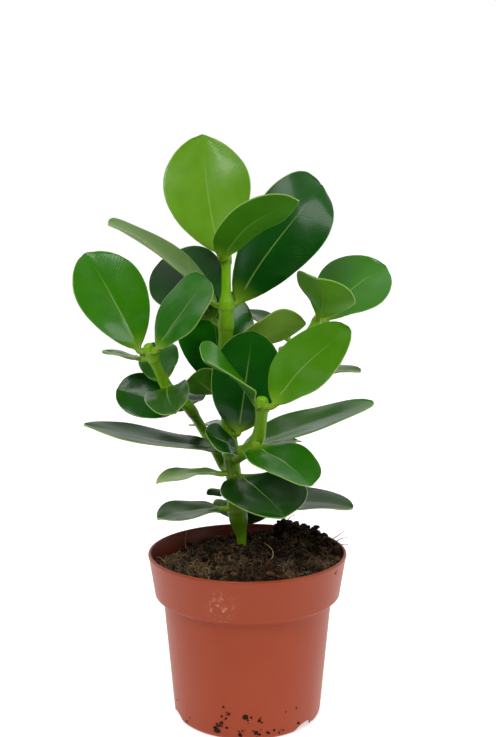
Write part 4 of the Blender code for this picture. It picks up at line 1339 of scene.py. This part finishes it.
class CLUSIA_OT_set_stage(bpy.types.Operator):
    """Sets a plain pale floor, soft studio light and the camera"""

    bl_idname = "clusia.set_stage"
    bl_label = "Set stage"

    def execute(self, context):
        settings = context.scene.clusia_stage
        self.lay_floor(context.scene, settings)
        self.light_sky(context.scene, settings)
        for name, place, target, size, power, tone in LAMPS:
            self.hang_lamp(context.scene, name, place, target, size, power * settings.key, tone)
        self.place_camera(context.scene)
        context.scene.view_settings.view_transform = "Standard"
        return {"FINISHED"}

    def lay_floor(self, scene, settings):
        """Opal acrylic, lit from below: matt and pale, so it only carries the pot's soft shadow."""
        bm = bmesh.new()
        bmesh.ops.create_circle(bm, cap_ends=True, segments=96, radius=FLOOR_RADIUS)
        mesh = bpy.data.meshes.new("floor")
        bm.to_mesh(mesh)
        bm.free()
        floor = bpy.data.objects.new("floor", mesh)
        scene.collection.objects.link(floor)
        floor.location.y = FLOOR_SHIFT
        material, node, drive = new_material(
            "acrylic_opal",
            {"Roughness": 0.8, "Specular IOR Level": 0.2, "Emission Color": (1.0, 1.0, 1.0, 1.0),
             "Emission Strength": settings.glow},
        )
        place = node("TexCoord", "Object")
        cloud = node("TexNoise", "Fac", {"Vector": place, "Scale": 6.0, "Detail": 2.0})
        dimmer = blend_colours(settings.floor, (0.5, 0.5, 0.5), 0.04)
        drive("Base Color", node("Mix", MIX_RESULT, {MIX_FACTOR: cloud, MIX_A: rgba(settings.floor),
                                                     MIX_B: rgba(dimmer)}, data_type="RGBA"))
        mesh.materials.append(material)

    def light_sky(self, scene, settings):
        """Soft white all round, dimmer in front of the plant and below, as in a dark studio."""
        world = bpy.data.worlds.new("studio")
        scene.world = world
        world.use_nodes = True
        tree = world.node_tree
        tree.nodes.clear()
        node = partial(add_node, tree)
        towards = node("TexCoord", "Generated")
        height = node("SeparateXYZ", "Z", {"Vector": towards})
        depth = node("SeparateXYZ", "Y", {"Vector": towards})
        behind = node("MapRange", "Result", {"Value": depth, "From Min": -0.45, "From Max": 0.25,
                                             "To Min": FRONT_SHADE, "To Max": 1.0},
                      interpolation_type="SMOOTHSTEP")
        above = node("MapRange", "Result", {"Value": height, "From Min": SKY_EDGE[0],
                                              "From Max": SKY_EDGE[1]}, interpolation_type="SMOOTHSTEP")
        bright = node("Math", "Value", {0: behind, 1: above}, operation="MAXIMUM")
        bright = node("Math", "Value", {0: bright, 1: settings.sky}, operation="MULTIPLY")
        lit = node("Background", "Background", {"Color": (1.0, 1.0, 1.0, 1.0), "Strength": bright})
        seen = node("Background", "Background", {"Color": (1.0, 1.0, 1.0, 1.0), "Strength": 1.0})
        camera_ray = node("LightPath", "Is Camera Ray")
        both = node("MixShader", "Shader", {0: camera_ray, 1: lit, 2: seen})
        output = tree.nodes.new("ShaderNodeOutputWorld")
        tree.links.new(both, output.inputs["Surface"])

    def hang_lamp(self, scene, name, place, target, size, power, tone):
        lamp = bpy.data.lights.new(name, "AREA")
        lamp.shape = "RECTANGLE"
        lamp.size, lamp.size_y = size
        lamp.energy = power
        lamp.color = rgb(tone)
        hung = bpy.data.objects.new(name, lamp)
        scene.collection.objects.link(hung)
        hung.location = place
        hung.rotation_euler = (Vector(target) - Vector(place)).to_track_quat("-Z", "Y").to_euler()

    def place_camera(self, scene):
        lens = bpy.data.cameras.new("camera")
        lens.sensor_width = 36.0
        lens.lens = FOCAL_PIXELS / IMAGE_HEIGHT * 36.0
        camera = bpy.data.objects.new("camera", lens)
        scene.collection.objects.link(camera)
        camera.location = CAMERA_PLACE
        camera.rotation_euler = (math.radians(90) - CAMERA_PITCH, 0, 0)
        scene.camera = camera


class CLUSIA_PT_looks(bpy.types.Panel):
    bl_label = "Potted autograph tree"
    bl_idname = "CLUSIA_PT_looks"
    bl_space_type = "VIEW_3D"
    bl_region_type = "UI"
    bl_category = "Clusia"

    def draw(self, context):
        for group, step in STEPS.items():
            box = self.layout.box()
            settings = getattr(context.scene, group)
            for field in settings.bl_rna.properties:
                if field.identifier not in ("rna_type", "name"):
                    box.prop(settings, field.identifier)
            box.operator("clusia.%s" % step)


STEPS = {
    "clusia_pot": "mould_pot",
    "clusia_soil": "fill_soil",
    "clusia_stem": "grow_stems",
    "clusia_leaf": "grow_leaves",
    "clusia_stage": "set_stage",
}
GROUPS = {
    "clusia_pot": PotSettings,
    "clusia_soil": SoilSettings,
    "clusia_stem": StemSettings,
    "clusia_leaf": LeafSettings,
    "clusia_stage": StageSettings,
}
CLASSES = (
    *GROUPS.values(),
    CLUSIA_OT_mould_pot,
    CLUSIA_OT_fill_soil,
    CLUSIA_OT_grow_stems,
    CLUSIA_OT_grow_leaves,
    CLUSIA_OT_set_stage,
    CLUSIA_PT_looks,
)


def register():
    for cls in CLASSES:
        bpy.utils.register_class(cls)
    for name, group in GROUPS.items():
        setattr(bpy.types.Scene, name, PointerProperty(type=group))


def unregister():
    for name in GROUPS:
        delattr(bpy.types.Scene, name)
    for cls in reversed(CLASSES):
        bpy.utils.unregister_class(cls)


def main():
    register()
    for step in STEPS.values():
        if getattr(bpy.ops.clusia, step)() != {"FINISHED"}:
            raise RuntimeError("%s did not finish" % step)
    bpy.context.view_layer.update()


if __name__ == "__main__":
    main()
